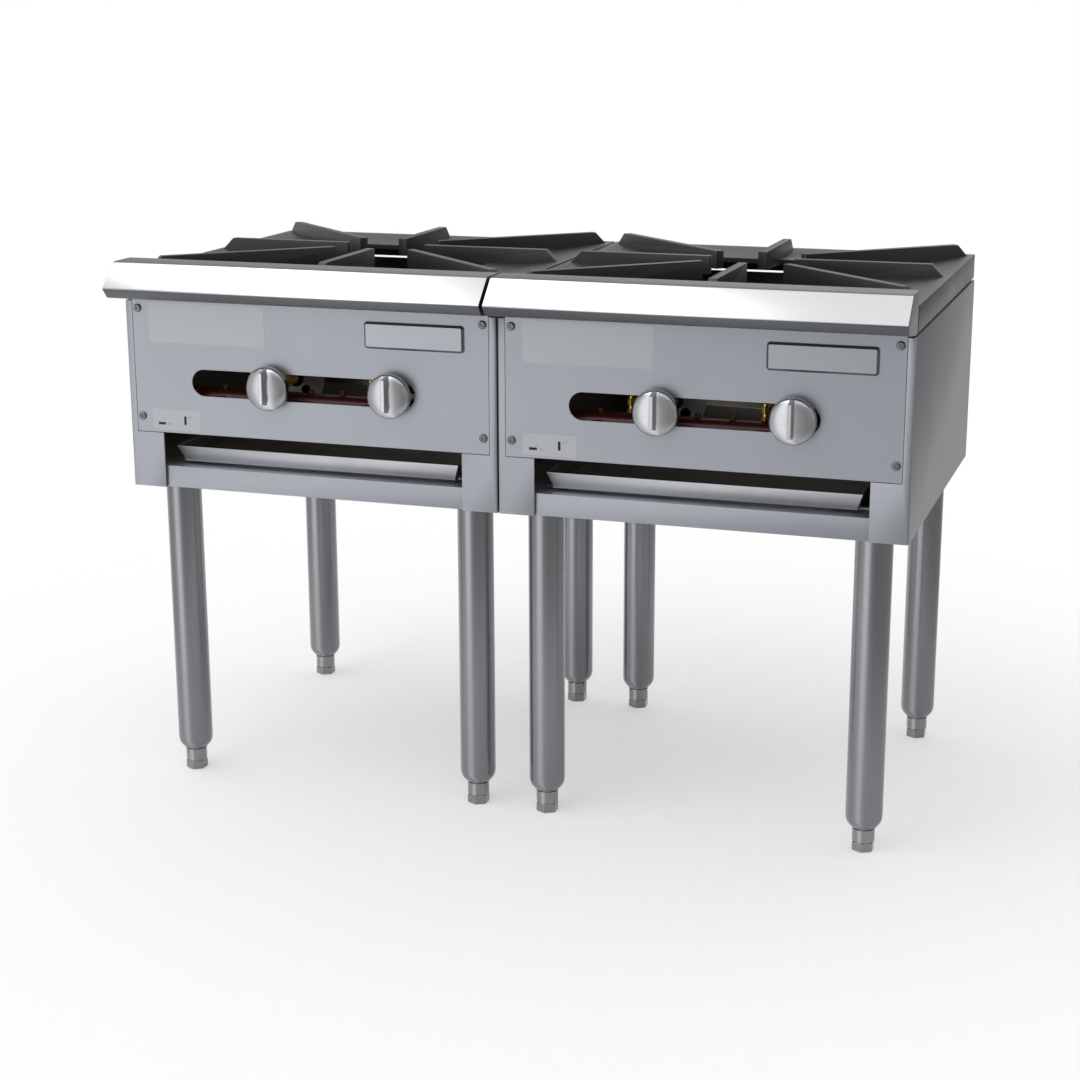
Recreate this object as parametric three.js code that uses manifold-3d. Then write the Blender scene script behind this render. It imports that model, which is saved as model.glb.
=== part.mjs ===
// Two gas stock pot ranges, standing side by side and bolted together. Millimetres, +Z up.
//
// Each range is a cabinet of folded stainless sheet on four round legs with levelling feet. A one-piece
// cast top grate carries the pot over two ring burners. Behind a slotted control panel each burner has
// its own valve and knob, and a drip tray slides out of the opening below the panel.
//
// In one range, x runs from its middle, y from the front face of its control panel towards the back,
// and z from the floor. The two ranges are the same, and stand one pitch apart.

import * as THREE from "three";
import { mergeVertices, toCreasedNormals } from "three/addons/utils/BufferGeometryUtils.js";
import Module from "manifold-3d";

const wasm = await Module();
wasm.setup();

// ---- Driving dimensions ----

// Fits and stock
const gap = 0.3; // between two pieces that touch
const sheet = 1.5; // stainless sheet of the cabinet
const spill = 1; // how far a cutting solid runs past what it cuts

// Cabinet
const unitWidth = 457.2; // pitch of the ranges: 18 in
const seam = 1.2; // between the two cabinets
const cabinetDepth = 458;
const cabinetBottom = 365; // height of the cabinet's lower edge over the floor
const cabinetHeight = 219.5;
const postWidth = 42; // front face of a side panel
const postEdge = 9; // strip of the post that shows beside the control panel
const rearFlange = 15;
const topFlange = 13;
const gussetThickness = 2;
const gussetLift = 6; // cabinet's lower edge to the underside of a gusset
const gussetMargin = 4; // a gusset reaches past its leg plate by this
const runnerReach = 63.5; // side wall to the inner edge of a tray runner
const runnerInset = 12; // rear end of a runner to the rear panel

// Front: crossbar, tray opening, control panel
const crossbarHeight = 25.4;
const crossbarLedge = 34; // reaches back under the tray
const crossbarLip = 3; // upturned back edge of the crossbar
const openingHeight = 40.6;
const panelShadow = 0.8; // open line under the control panel
const panelFlange = 12;
const slotLength = 276.8;
const slotHeight = 31.2;
const slotX = -7.3;
const slotRise = 61.2; // panel's lower edge to the slot's middle
const valveX = { left: -45.4, right: 103.7 };
const plateWidth = 116.8;
const plateHeight = 30.4;
const plateThickness = 3;
const plateInset = 28.2; // control panel's end to the nameplate's
const plateRise = 127.4; // panel's lower edge to the nameplate's middle
const plateCorner = 4;
const plateBevel = 1.2;

// Bull-nose rail
const railInset = 2; // end of the rail to the end of its unit
const railBackY = 14.3;
const railStripFrontY = -23.5;
const railNoseY = -52.3;
const railNoseDrop = 27.9; // top of the rail to its nose
const railHeelY = -42; // lower edge of the steep lower face
const railHeelRise = 6; // that edge to the underside where the rail lies on the cabinet
const railSeatY = 0; // front of that underside
const railRise = 16; // rim of the grate's deck to the top of the rail
const railLapY = 8; // back edge of the rail's bottom flange
const railBackFlange = 30;

// Top grate
const grateInset = 1.6; // side of the grate to the edge of its unit
const grateBackInset = 2; // back of the cabinet to the back of the grate
const grateLift = 3; // cabinet's top edge to the grate's skirt
const skirtHeight = 28.5;
const skirtWall = 6;
const rimLand = 9; // flat edge of the deck, outside its dish
const dishRun = 38; // width of the slope down into the dish
const dishDepth = 4.7;
const deckThickness = 6;
const grateHole = 264; // square opening of the deck
const grateHoleCorner = 24;
const ribRise = 14; // rim of the deck to the top of a rib
const ribThickness = 10;
const ribDepthInside = 21; // height of a rib at its inner end
const ribOpening = 100; // square left free by the inner ends of the ribs
const ribSideInset = 21; // side of the grate to the flat top of a rib that points there
const ribEndInset = 31.7; // the same at the front and the rear,
const ribCornerInset = { x: 20.5, y: 30.7 }; // and at the corners
const potSetback = 6; // middle of the grate to the middle of the pot's place, over the burners
const padWidth = 10;
const padLength = 22;
const padInset = 3; // side of the grate to the outer side of a pad
const padFromEnd = 40; // front or rear of the grate to a pad

// Drip tray
const traySideClear = 9.5; // post to the side of the tray
const trayFrontY = 13.5;
const trayBackClear = 14.2; // rear panel to the back of the tray
const trayFlare = 6;
const trayFlareHeight = 16.4;
const trayWallHeight = 2.4; // upright foot of the walls, below the flare
const traySheet = 1.2;
const trayClear = 0.7; // crossbar's lip to the underside of the tray

// Gas: manifold, inlet pipe, valves, knobs
const pipeRadius = 13.35; // 3/4 in pipe
const pipeBore = 10.45;
const manifoldY = 30;
const manifoldCrownDrop = 10.2; // valve axis to the top of the manifold
const manifoldLeftX = -150;
const manifoldRightX = 165;
const plugRadius = 16;
const plugLength = 12;
const strapWidth = 12;
const strapHeight = 12;
const strapX = [-124, 60];
const elbowRadius = 18;
const elbowReach = 26; // manifold axis to the mouth of the elbow
const elbowSocket = 14;
const inletStub = 30; // inlet pipe behind the cabinet
const valveRadius = 9.8;
const valveFrontY = 14;
const valveBackY = 34;
const valveNeckRadius = 9;
const valveNeck = 4;
const nippleRadius = 6;
const hoodRadius = 7;
const hoodEndY = 70;
const stemRadius = 4;
const stemEndY = 20;
const stemEndClear = 2;
const knobRadius = 25.4;
const knobStandoff = 6; // control panel to the back of a knob
const knobRim = 6; // height of the knob's rim
const knobDome = 8.5; // dome over the rim
const knobFillet = 2;
const gripWidth = 6;
const gripHeight = 16.5; // over the knob's rim
const gripEndInset = 4.5; // the crest is shorter than the grip at each end by this
const gripFoot = 5; // the grip stops short of the knob's lower edge by this

// Burners
const ringHeight = 18;
const ringChamfer = 3;
const ringTopDrop = 26.5; // cabinet's top edge to the top of the burners
const outerRing = { inside: 83, outside: 107 };
const innerRing = { inside: 31, outside: 53 };
const throatRadius = { outer: 15, inner: 13 };
const mouthY = 66;
const mouthDepth = 24;
const mouthRadius = { outer: 30, inner: 24 };
const mouthWall = 4;
const shutterRadius = { outer: 37, inner: 30 };
const shutterHole = 11;
const shutterPort = 6; // radius of an air port in a shutter
const shutterTurn = 45; // degrees from straight below the hole to the lower port
const footBoss = 8; // height of the bosses that stand a ring on its support
const footBossWidth = 16;
const supportWidth = 20;
const supportHeight = 10;
const supportTab = 26;
const pilotRadius = 3.2;
const pilotHeadRadius = 5;
const pilotHeadHeight = 14;
const pilotValveRadius = 4.8; // small hexagonal valves on top of the manifold
const pilotValveHeight = 20;
const pilotValveReach = 38; // axis of a knob to the pilot valve on its left
const pilotOutlet = 11.2; // top of the manifold to the axis of the pilot's pipe

// Legs and feet
const legRadius = 20.65; // 1-5/8 in tube
const legWall = 1.5;
const legSideInset = 42.9; // side of the unit to a leg's axis
const legFrontY = 42.2;
const legRearInset = 29.4; // back of the cabinet to a rear leg's axis
const legNeckRadius = 15;
const legNeckBottom = 28.5;
const legNeckHeight = 1.2;
const legTaper = 11;
const legPlateThickness = 4;
const legPlateOut = 25.5; // leg axis to the edge of its plate nearest the corner
const legPlateIn = 44.5; // and to the edge nearest the middle
const boltOut = 19.5;
const boltIn = 38.5;
const boltHeadRadius = 5.8;
const boltHeadHeight = 4.5;
const footStemRadius = 12.7;
const footHexRadius = 13.2; // over the corners
const footHexHeight = 10;
const footStemTop = 86;
const footEdge = 1.2;

// Banking bolts between the ranges
const bankingInset = 98; // front or back of the cabinet to a bolt's axis
const bankingDrop = 30; // cabinet's top edge to a bolt's axis
const bankingRadius = 4;
const bankingHeadRadius = 7;
const bankingHeadHeight = 5;

// Facets
const knobPieces = 20;
const legPieces = 16;
const pipePieces = 10;
const ringPieces = 24;
const cornerPieces = 3;
const hexSides = 6;
const throatSteps = 7;
const pilotPieces = { sides: 6, steps: 18, head: 8 };

// ---- Sizes that follow from them ----

const bodyHalf = (unitWidth - seam) / 2;
const wallInner = bodyHalf - sheet;
const fitHalf = wallInner - gap; // half-width of what stands between the side walls
const cabinetTop = cabinetBottom + cabinetHeight;
const postInner = bodyHalf - postWidth;
const postBackY = 2 * sheet + gap;
const rearFlangeY = cabinetDepth - sheet;
const rearPanelY = rearFlangeY - gap - sheet;
const crossbarTop = cabinetBottom + crossbarHeight;
const crossbarY = postBackY + gap;
const panelBottom = crossbarTop + openingHeight;
const panelTop = cabinetTop + gap + sheet;
const panelHalf = bodyHalf - postEdge;
const valveZ = panelBottom + slotRise;
const plateX = panelHalf - plateInset - plateWidth / 2;
const skirtBottom = cabinetTop + grateLift;
const rimTop = skirtBottom + skirtHeight;
const ribTop = rimTop + ribRise;
const railTop = rimTop + railRise;
const grateHalf = unitWidth / 2 - grateInset;
const grateFrontY = railBackY + gap;
const grateBackY = cabinetDepth - grateBackInset;
const potY = (grateFrontY + grateBackY) / 2 + potSetback;
const railHalf = unitWidth / 2 - railInset;
const railBottom = panelTop + gap;
const runnerTop = crossbarTop + crossbarLip + trayClear - gap;
const trayBottom = runnerTop + gap;
const trayHalf = postInner - traySideClear;
const trayBackY = rearPanelY - trayBackClear;
const manifoldZ = valveZ - manifoldCrownDrop - pipeRadius;
const ringTop = cabinetTop - ringTopDrop;
const ringBottom = ringTop - ringHeight;
const supportTop = ringBottom - footBoss;
const pilotX = { left: valveX.left - pilotValveReach, right: valveX.right - pilotValveReach };
const legX = unitWidth / 2 - legSideInset;
const legRearY = cabinetDepth - legRearInset;
const gussetZ = cabinetBottom + gussetLift;
const legPlateTop = gussetZ - gap;
const legPlateBottom = legPlateTop - legPlateThickness;
const bankingY = [bankingInset, cabinetDepth - bankingInset];
const bankingZ = cabinetTop - bankingDrop;
const inletEndY = cabinetDepth + inletStub;

// ---- Solids ----

function solid(geometry) {
  const bare = geometry.index ? geometry.toNonIndexed() : geometry.clone();
  bare.deleteAttribute("normal");
  bare.deleteAttribute("uv");
  const merged = mergeVertices(bare);
  return new wasm.Manifold(
    new wasm.Mesh({
      numProp: 3,
      vertProperties: merged.attributes.position.array,
      triVerts: new Uint32Array(merged.index.array),
    }),
  );
}

const join = (solids) => solids.reduce((whole, next) => whole.add(next));
const cut = (whole, tools) => tools.reduce((left, tool) => left.subtract(tool), whole);

function block([x0, x1], [y0, y1], [z0, z1]) {
  const box = new THREE.BoxGeometry(Math.abs(x1 - x0), Math.abs(y1 - y0), Math.abs(z1 - z0));
  return solid(box.translate((x0 + x1) / 2, (y0 + y1) / 2, (z0 + z1) / 2));
}

// A block whose upper face is larger or smaller than its lower one by `flare` on each side.
function flared([x0, x1], [y0, y1], [z0, z1], flare) {
  const box = new THREE.BoxGeometry(x1 - x0, y1 - y0, z1 - z0);
  const corners = box.attributes.position;
  for (let i = 0; i < corners.count; i++) {
    if (corners.getZ(i) < 0) continue;
    corners.setX(i, corners.getX(i) + Math.sign(corners.getX(i)) * flare);
    corners.setY(i, corners.getY(i) + Math.sign(corners.getY(i)) * flare);
  }
  return solid(box.translate((x0 + x1) / 2, (y0 + y1) / 2, (z0 + z1) / 2));
}

// An outline drawn in the plane across `axis`, carried along that axis from `from` to `to`.
// The outline's two coordinates are (y, z) along "x", (x, z) along "y" and (x, y) along "z".
function prism(outline, axis, from, to) {
  const shape = outline instanceof THREE.Shape ? outline : shapeOf(outline);
  const geometry = new THREE.ExtrudeGeometry(shape, {
    depth: to - from,
    bevelEnabled: false,
    curveSegments: cornerPieces,
  });
  const [right, up, ahead] = {
    x: [[0, 1, 0], [0, 0, 1], [1, 0, 0]],
    y: [[1, 0, 0], [0, 0, 1], [0, -1, 0]],
    z: [[1, 0, 0], [0, 1, 0], [0, 0, 1]],
  }[axis].map((direction) => new THREE.Vector3(...direction));
  geometry.applyMatrix4(new THREE.Matrix4().makeBasis(right, up, ahead));
  const start = axis === "y" ? to : from;
  return solid(geometry.translate(...["x", "y", "z"].map((a) => (a === axis ? start : 0))));
}

const shapeOf = (points) => new THREE.Shape(points.map(([a, b]) => new THREE.Vector2(a, b)));

// A profile of (radius, distance) pairs turned about a line through `centre` along `axis`.
function turned(profile, axis, centre, pieces) {
  const points = profile.map(([radius, along]) => new THREE.Vector2(radius, along));
  const geometry = new THREE.LatheGeometry(points, pieces);
  if (axis === "x") geometry.rotateZ(-Math.PI / 2);
  if (axis === "z") geometry.rotateX(Math.PI / 2);
  if (axis === "-y") geometry.rotateX(Math.PI);
  return solid(geometry.translate(...centre));
}

const rod = (radius, from, to, axis, centre, pieces) =>
  turned([[0, from], [radius, from], [radius, to], [0, to]], axis, centre, pieces);

// A bar of the given radius and number of sides along a smooth curve through the points.
function bar(points, radius, sides, steps) {
  const round = new THREE.Shape().absarc(0, 0, radius, 0, 2 * Math.PI);
  const path = new THREE.CatmullRomCurve3(points.map((p) => new THREE.Vector3(...p)));
  const options = { steps, curveSegments: sides / 2, extrudePath: path };
  return solid(new THREE.ExtrudeGeometry(round, options));
}

function roundedRectangle(width, height, radius) {
  const [x, y] = [width / 2, height / 2];
  const shape = new THREE.Shape();
  shape.absarc(x - radius, y - radius, radius, 0, Math.PI / 2);
  shape.absarc(radius - x, y - radius, radius, Math.PI / 2, Math.PI);
  shape.absarc(radius - x, radius - y, radius, Math.PI, 1.5 * Math.PI);
  shape.absarc(x - radius, radius - y, radius, 1.5 * Math.PI, 2 * Math.PI);
  return shape;
}

// The section of a sheet folded along a line of points, with its thickness on the left of the line.
function folded(line, thickness) {
  const points = line.map(([a, b]) => new THREE.Vector2(a, b));
  const left = points.slice(1).map((end, i) => {
    const along = end.clone().sub(points[i]).normalize();
    return new THREE.Vector2(-along.y, along.x);
  });
  const inner = points.map((point, i) => {
    const [before, after] = [left[i - 1] ?? left[i], left[i] ?? left[i - 1]];
    const mitre = before.clone().add(after).divideScalar(1 + before.dot(after));
    return point.clone().addScaledVector(mitre, thickness);
  });
  return [...points, ...inner.reverse()].map(({ x, y }) => [x, y]);
}

// Both ends of a span that starts at a, mirrored to the given side of the unit.
const onSide = (side, a, b) => (side > 0 ? [a, b] : [-b, -a]);

// ---- Cabinet ----

function sidePanel(side, banked) {
  const x = (inner, outer) => onSide(side, inner, outer);
  const full = [cabinetBottom, cabinetTop];
  const legSpan = legPlateIn + gussetMargin;
  const welded = wallInner + sheet / 2; // what is welded to the wall runs into it this far
  const gussetX = x(legX - legSpan, welded);
  const gussetHeight = [gussetZ, gussetZ + gussetThickness];
  const section = [
    [postInner, 0], [bodyHalf, 0], [bodyHalf, cabinetDepth], [bodyHalf - rearFlange, cabinetDepth],
    [bodyHalf - rearFlange, rearFlangeY], [wallInner, rearFlangeY], [wallInner, postBackY],
    [postInner, postBackY],
  ];
  const wall = prism(section.map(([across, along]) => [side * across, along]), "z", ...full);
  // the control panel is let into the post, flush with its face
  const rebate = block(
    x(postInner - spill, panelHalf + gap),
    [-spill, sheet + gap],
    [panelBottom - panelShadow, cabinetTop + spill],
  );
  const shelf = block(
    x(bodyHalf - topFlange, welded),
    [postBackY - sheet / 2, rearPanelY - gap],
    [cabinetTop - sheet, cabinetTop],
  );
  const runner = block(
    x(wallInner - runnerReach, welded),
    [crossbarY + crossbarLedge + 2 * sheet, rearPanelY - runnerInset],
    [runnerTop - sheet, runnerTop],
  );
  const gussets = [
    block(gussetX, [crossbarY + sheet + gap, legFrontY + legSpan], gussetHeight),
    block(gussetX, [legRearY - legSpan, rearPanelY - gap], gussetHeight),
  ];
  const holes = banked ? bankingY.map((y) => bankingHole(side, y)) : [];
  return cut(join([wall.subtract(rebate), shelf, runner, ...gussets]), holes);
}

function bankingHole(side, y) {
  const [from, to] = onSide(side, wallInner - spill, bodyHalf + spill);
  return rod(bankingRadius + gap, from, to, "x", [0, y, bankingZ], pipePieces);
}

function rearPanel() {
  const panel = block([-fitHalf, fitHalf], [rearPanelY, rearPanelY + sheet], [cabinetBottom, cabinetTop]);
  const centre = [manifoldRightX, 0, manifoldZ];
  const from = rearPanelY - spill;
  const hole = rod(pipeRadius + gap, from, rearPanelY + sheet + spill, "y", centre, pipePieces);
  return panel.subtract(hole);
}

function lowerCrossbar() {
  const backY = crossbarY + crossbarLedge;
  const section = folded(
    [
      [backY, crossbarTop + crossbarLip],
      [backY, crossbarTop],
      [crossbarY, crossbarTop],
      [crossbarY, cabinetBottom],
    ],
    sheet,
  );
  return prism(section, "x", -fitHalf, fitHalf);
}

function controlPanel() {
  const plate = block([-panelHalf, panelHalf], [0, sheet], [panelBottom, panelTop]);
  const flange = block([-panelHalf, panelHalf], [0, panelFlange], [panelTop - sheet, panelTop]);
  const end = slotHeight / 2;
  const straight = slotLength / 2 - end;
  const slot = new THREE.Shape();
  slot.absarc(straight, 0, end, -Math.PI / 2, Math.PI / 2);
  slot.absarc(-straight, 0, end, Math.PI / 2, 1.5 * Math.PI);
  const opening = prism(slot, "y", -spill, sheet + spill).translate(slotX, 0, valveZ);
  return join([plate, flange]).subtract(opening);
}

function nameplate() {
  const bevel = { bevelThickness: plateBevel, bevelSize: plateBevel, bevelSegments: 1 };
  const shape = roundedRectangle(
    plateWidth - 2 * plateBevel,
    plateHeight - 2 * plateBevel,
    plateCorner - plateBevel,
  );
  const plate = new THREE.ExtrudeGeometry(shape, {
    depth: plateThickness - plateBevel,
    curveSegments: cornerPieces,
    ...bevel,
  });
  // bevelled all round, then faced flat where it lies on the panel
  const standing = solid(plate.rotateX(Math.PI / 2));
  const back = block([-plateWidth, plateWidth], [0, plateThickness], [-plateHeight, plateHeight]);
  return standing.subtract(back).translate(plateX, -gap, panelBottom + plateRise);
}

// The rail is sheet folded to a bull-nose, open along its lower back corner, with its ends closed.
function frontRail() {
  const top = [[railBackY, railTop], [railStripFrontY, railTop]];
  const nose = [[railNoseY, railTop - railNoseDrop], [railHeelY, railBottom + railHeelRise]];
  const underside = [[railSeatY, railBottom], [railLapY, railBottom]];
  const line = [[railBackY, railTop - railBackFlange], ...top, ...nose, ...underside];
  const skin = prism(folded(line, sheet), "x", -railHalf, railHalf);
  const end = [...top, ...nose, underside[0], [railBackY, railBottom]];
  const ends = [-1, 1].map((side) => prism(end, "x", ...onSide(side, railHalf - sheet, railHalf)));
  return join([skin, ...ends]);
}

// ---- Top grate ----

function topGrate() {
  const across = (inset) => [inset - grateHalf, grateHalf - inset];
  const along = (inset) => [grateFrontY + inset, grateBackY - inset];
  const deckTop = rimTop - dishDepth;
  const deckUnder = deckTop - deckThickness;
  const rim = block(across(0), along(0), [skirtBottom, rimTop]);
  const underside = block(across(skirtWall), along(skirtWall), [skirtBottom - spill, deckUnder]);
  const dishInset = rimLand + dishRun;
  // the dish's slope carries on above the rim, so that the cut leaves no skin
  const overrun = dishRun * (spill / dishDepth);
  const dish = flared(across(dishInset), along(dishInset), [deckTop, rimTop + spill], dishRun + overrun);
  const holeShape = roundedRectangle(grateHole, grateHole, grateHoleCorner);
  const hole = prism(holeShape, "z", deckUnder - spill, rimTop).translate(0, potY, 0);
  const pads = [];
  for (const side of [-1, 1]) {
    const x = onSide(side, grateHalf - padInset - padWidth, grateHalf - padInset);
    for (const y of [grateFrontY + padFromEnd, grateBackY - padFromEnd - padLength]) {
      pads.push(block(x, [y, y + padLength], [cabinetTop + gap, skirtBottom + skirtWall]));
    }
  }
  const deck = cut(rim, [underside, dish, hole]);
  return join([deck, ...ribEnds().map((end) => rib(end, deckUnder)), ...pads]);
}

// The eight points, from the middle of the grate, where the flat top of a rib ends.
function ribEnds() {
  const halfDepth = (grateBackY - grateFrontY) / 2;
  const [side, end] = [grateHalf - ribSideInset, halfDepth - ribEndInset];
  const [x, y] = [grateHalf - ribCornerInset.x, halfDepth - ribCornerInset.y];
  return [[side, 0], [x, y], [0, end], [-x, y], [-side, 0], [-x, -y], [0, -end], [x, -y]];
}

function rib([endX, endY], deckUnder) {
  const reach = Math.hypot(endX, endY);
  const toSquare = reach / Math.max(Math.abs(endX), Math.abs(endY)); // 1 along x or y, about 1.4 between
  const start = (ribOpening / 2) * toSquare;
  const holeEdge = (grateHole / 2) * Math.min(toSquare, (grateHole / 2 + grateHoleCorner) / (grateHole / 2));
  const outline = [
    [start, ribTop - ribDepthInside],
    [holeEdge, deckUnder],
    [reach + ribRise - dishDepth, deckUnder],
    [reach + ribRise, rimTop],
    [reach, ribTop],
    [start, ribTop],
  ];
  const half = ribThickness / 2;
  return prism(outline, "y", -half, half)
    .rotate([0, 0, THREE.MathUtils.radToDeg(Math.atan2(endY, endX))])
    .translate(0, potY, 0);
}

// ---- Drip tray ----

function dripTray() {
  const x = (inset) => [inset - trayHalf, trayHalf - inset];
  const y = (inset) => [trayFrontY + inset, trayBackY - inset];
  const shoulder = trayBottom + trayWallHeight;
  const shell = (inset, bottom, over) => {
    const walls = block(x(trayFlare + inset), y(trayFlare + inset), [bottom, shoulder]);
    const flareHeight = [shoulder, shoulder + trayFlareHeight];
    const lip = flared(x(trayFlare + inset), y(trayFlare + inset), flareHeight, trayFlare);
    const rim = block(x(inset), y(inset), [shoulder + trayFlareHeight, shoulder + trayFlareHeight + over]);
    return over ? join([walls, lip, rim]) : join([walls, lip]);
  };
  return shell(0, trayBottom, 0).subtract(shell(traySheet, trayBottom + traySheet, spill));
}

// ---- Gas train ----

function gasManifold() {
  const onPipe = [0, manifoldY, manifoldZ];
  const atElbow = [manifoldRightX, 0, manifoldZ];
  const mouthEnd = manifoldY + elbowReach;
  const body = [
    rod(pipeRadius, manifoldLeftX, manifoldRightX, "x", onPipe, pipePieces),
    rod(plugRadius, manifoldLeftX - plugLength, manifoldLeftX, "x", onPipe, hexSides),
    rod(elbowRadius, manifoldRightX - elbowRadius, manifoldRightX + elbowRadius, "x", onPipe, pipePieces),
    rod(elbowRadius, manifoldY, mouthEnd, "y", atElbow, pipePieces),
    rod(pilotValveRadius, manifoldZ, manifoldZ + pipeRadius + gap + pilotValveHeight, "z",
      [pilotX.left, manifoldY, 0], hexSides),
    ...strapX.map((x) =>
      block(
        [x, x + strapWidth],
        [sheet + gap, manifoldY],
        [manifoldZ - strapHeight / 2, manifoldZ + strapHeight / 2],
      ),
    ),
  ];
  const bores = [
    rod(pipeBore, manifoldLeftX, manifoldRightX, "x", onPipe, pipePieces),
    rod(pipeBore, manifoldY, mouthEnd, "y", atElbow, pipePieces),
    rod(pipeRadius + gap, mouthEnd - elbowSocket, mouthEnd + spill, "y", atElbow, pipePieces),
  ];
  return cut(join(body), bores);
}

function inletPipe() {
  const from = manifoldY + elbowReach - elbowSocket + gap;
  const profile = [
    [pipeBore, from], [pipeRadius, from], [pipeRadius, inletEndY], [pipeBore, inletEndY], [pipeBore, from],
  ];
  return turned(profile, "y", [manifoldRightX, 0, manifoldZ], pipePieces);
}

function valve(x) {
  const centre = [x, 0, valveZ];
  const neckY = valveFrontY - valveNeck;
  const body = [
    rod(valveNeckRadius, neckY, valveFrontY, "y", centre, pipePieces),
    rod(valveRadius, valveFrontY, valveBackY, "y", centre, hexSides),
    rod(hoodRadius, valveBackY, hoodEndY, "y", centre, pipePieces),
    rod(nippleRadius, valveZ - manifoldCrownDrop + gap, valveZ, "z", [x, manifoldY, 0], pipePieces),
  ];
  const stemBore = rod(stemRadius + gap, neckY - spill, stemEndY + stemEndClear, "y", centre, pipePieces);
  return join(body).subtract(stemBore);
}

// The knob and the stem that turns with it, drawn pointing at the viewer.
function knob(x) {
  const rimTopAt = knobStandoff + knobRim;
  const dome = [];
  const steps = cornerPieces;
  for (let i = 0; i <= steps; i++) {
    const angle = (i / steps) * (Math.PI / 2);
    dome.push([knobRadius * Math.cos(angle), rimTopAt + knobDome * Math.sin(angle)]);
  }
  dome[steps][0] = 0;
  const back = [
    [0, knobStandoff], [knobRadius - knobFillet, knobStandoff], [knobRadius, knobStandoff + knobFillet],
  ];
  const centre = [x, 0, valveZ];
  const cap = turned([...back, ...dome], "-y", centre, knobPieces);
  const crest = rimTopAt + gripHeight;
  const end = knobRadius - knobFillet / 2;
  const foot = gripFoot - end;
  const side = [
    [-rimTopAt, foot], [-rimTopAt, end], [-(rimTopAt + knobDome), end],
    [-crest, end - gripEndInset], [-crest, foot + gripEndInset], [-(rimTopAt + knobDome), foot],
  ];
  const grip = prism(side.reverse(), "x", -gripWidth / 2, gripWidth / 2).translate(x, 0, valveZ);
  const stem = rod(stemRadius, -stemEndY, rimTopAt, "-y", centre, pipePieces);
  return join([cap, grip, stem]);
}

// ---- Burners ----

// A cast ring on two bosses, with a throat that runs from its mouth at (x, mouthY) to the ring.
function burner({ inside, outside }, x, kind, route) {
  const centre = [0, potY, 0];
  const ring = turned(
    [
      [inside, ringBottom], [outside, ringBottom], [outside, ringTop - ringChamfer],
      [outside - ringChamfer, ringTop], [inside + ringChamfer, ringTop], [inside, ringTop - ringChamfer],
      [inside, ringBottom],
    ],
    "z",
    centre,
    ringPieces,
  );
  const middle = (inside + outside) / 2;
  const half = footBossWidth / 2;
  const bosses = [-middle, middle].map((at) =>
    block(
      [at - half, at + half],
      [potY - half, potY + half],
      [supportTop + gap, ringBottom + ringChamfer],
    ),
  );
  const throat = bar(route, throatRadius[kind], pipePieces, throatSteps);
  const radius = mouthRadius[kind];
  const bell = turned(
    [[0, mouthY], [radius, mouthY], [radius, mouthY + mouthWall], [throatRadius[kind], mouthY + mouthDepth],
      [0, mouthY + mouthDepth]],
    "y",
    [x, 0, valveZ],
    pipePieces,
  );
  const bore = turned(
    [[0, mouthY - spill], [radius - mouthWall, mouthY - spill], [radius - mouthWall, mouthY + mouthWall],
      [0, mouthY + mouthDepth]],
    "y",
    [x, 0, valveZ],
    pipePieces,
  );
  return join([ring, ...bosses, throat, bell]).subtract(bore);
}

function outerBurner() {
  const x = valveX.left;
  const middle = (outerRing.inside + outerRing.outside) / 2;
  // the throat meets the ring straight behind its mouth
  const [landX, landY] = [x, potY - Math.sqrt(middle ** 2 - x ** 2)];
  const route = [
    [x, mouthY + mouthDepth / 2, valveZ],
    [x, mouthY + mouthDepth, valveZ],
    [x, (mouthY + mouthDepth + landY) / 2, (valveZ + ringBottom) / 2],
    [landX, landY, ringBottom + ringHeight / 2],
  ];
  return burner(outerRing, x, "outer", route);
}

// The inner ring's throat passes under the outer ring.
function innerBurner() {
  const x = valveX.right;
  const middle = (innerRing.inside + innerRing.outside) / 2;
  const underRing = ringBottom - throatRadius.inner - mouthDepth / 2;
  const route = [
    [x, mouthY + mouthDepth / 2, valveZ],
    [x - mouthDepth / 4, mouthY + mouthDepth, valveZ],
    [x / 2, potY - (outerRing.inside + outerRing.outside) / 2, underRing],
    [middle / 4, potY - middle - throatRadius.inner, underRing + throatRadius.inner],
    [0, potY - middle, ringBottom + ringHeight / 2],
  ];
  return burner(innerRing, x, "inner", route);
}

function airShutter(x, kind) {
  const back = mouthY - gap;
  const centre = [x, 0, valveZ];
  const disc = rod(shutterRadius[kind], back - sheet, back, "y", centre, legPieces);
  const hole = rod(shutterHole, back - sheet - spill, back + spill, "y", centre, pipePieces);
  const portReach = (shutterHole + mouthRadius[kind] - mouthWall) / 2 + spill;
  const turn = THREE.MathUtils.degToRad(shutterTurn);
  const ports = [-1, 1].map((side) => {
    const at = [x + side * portReach * Math.sin(turn), 0, valveZ - side * portReach * Math.cos(turn)];
    return rod(shutterPort, back - sheet - spill, back + spill, "y", at, pipePieces);
  });
  return cut(disc, [hole, ...ports]);
}

function burnerSupport() {
  const [front, back] = [potY - supportWidth / 2, potY + supportWidth / 2];
  const bottom = supportTop - supportHeight;
  const section = folded([[back, bottom], [back, supportTop], [front, supportTop], [front, bottom]], sheet);
  const tabs = [-1, 1].map((side) =>
    block(onSide(side, fitHalf - sheet, fitHalf), [front, back], [supportTop - supportTab, supportTop]),
  );
  return join([prism(section, "x", -fitHalf, fitHalf), ...tabs]);
}

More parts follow.
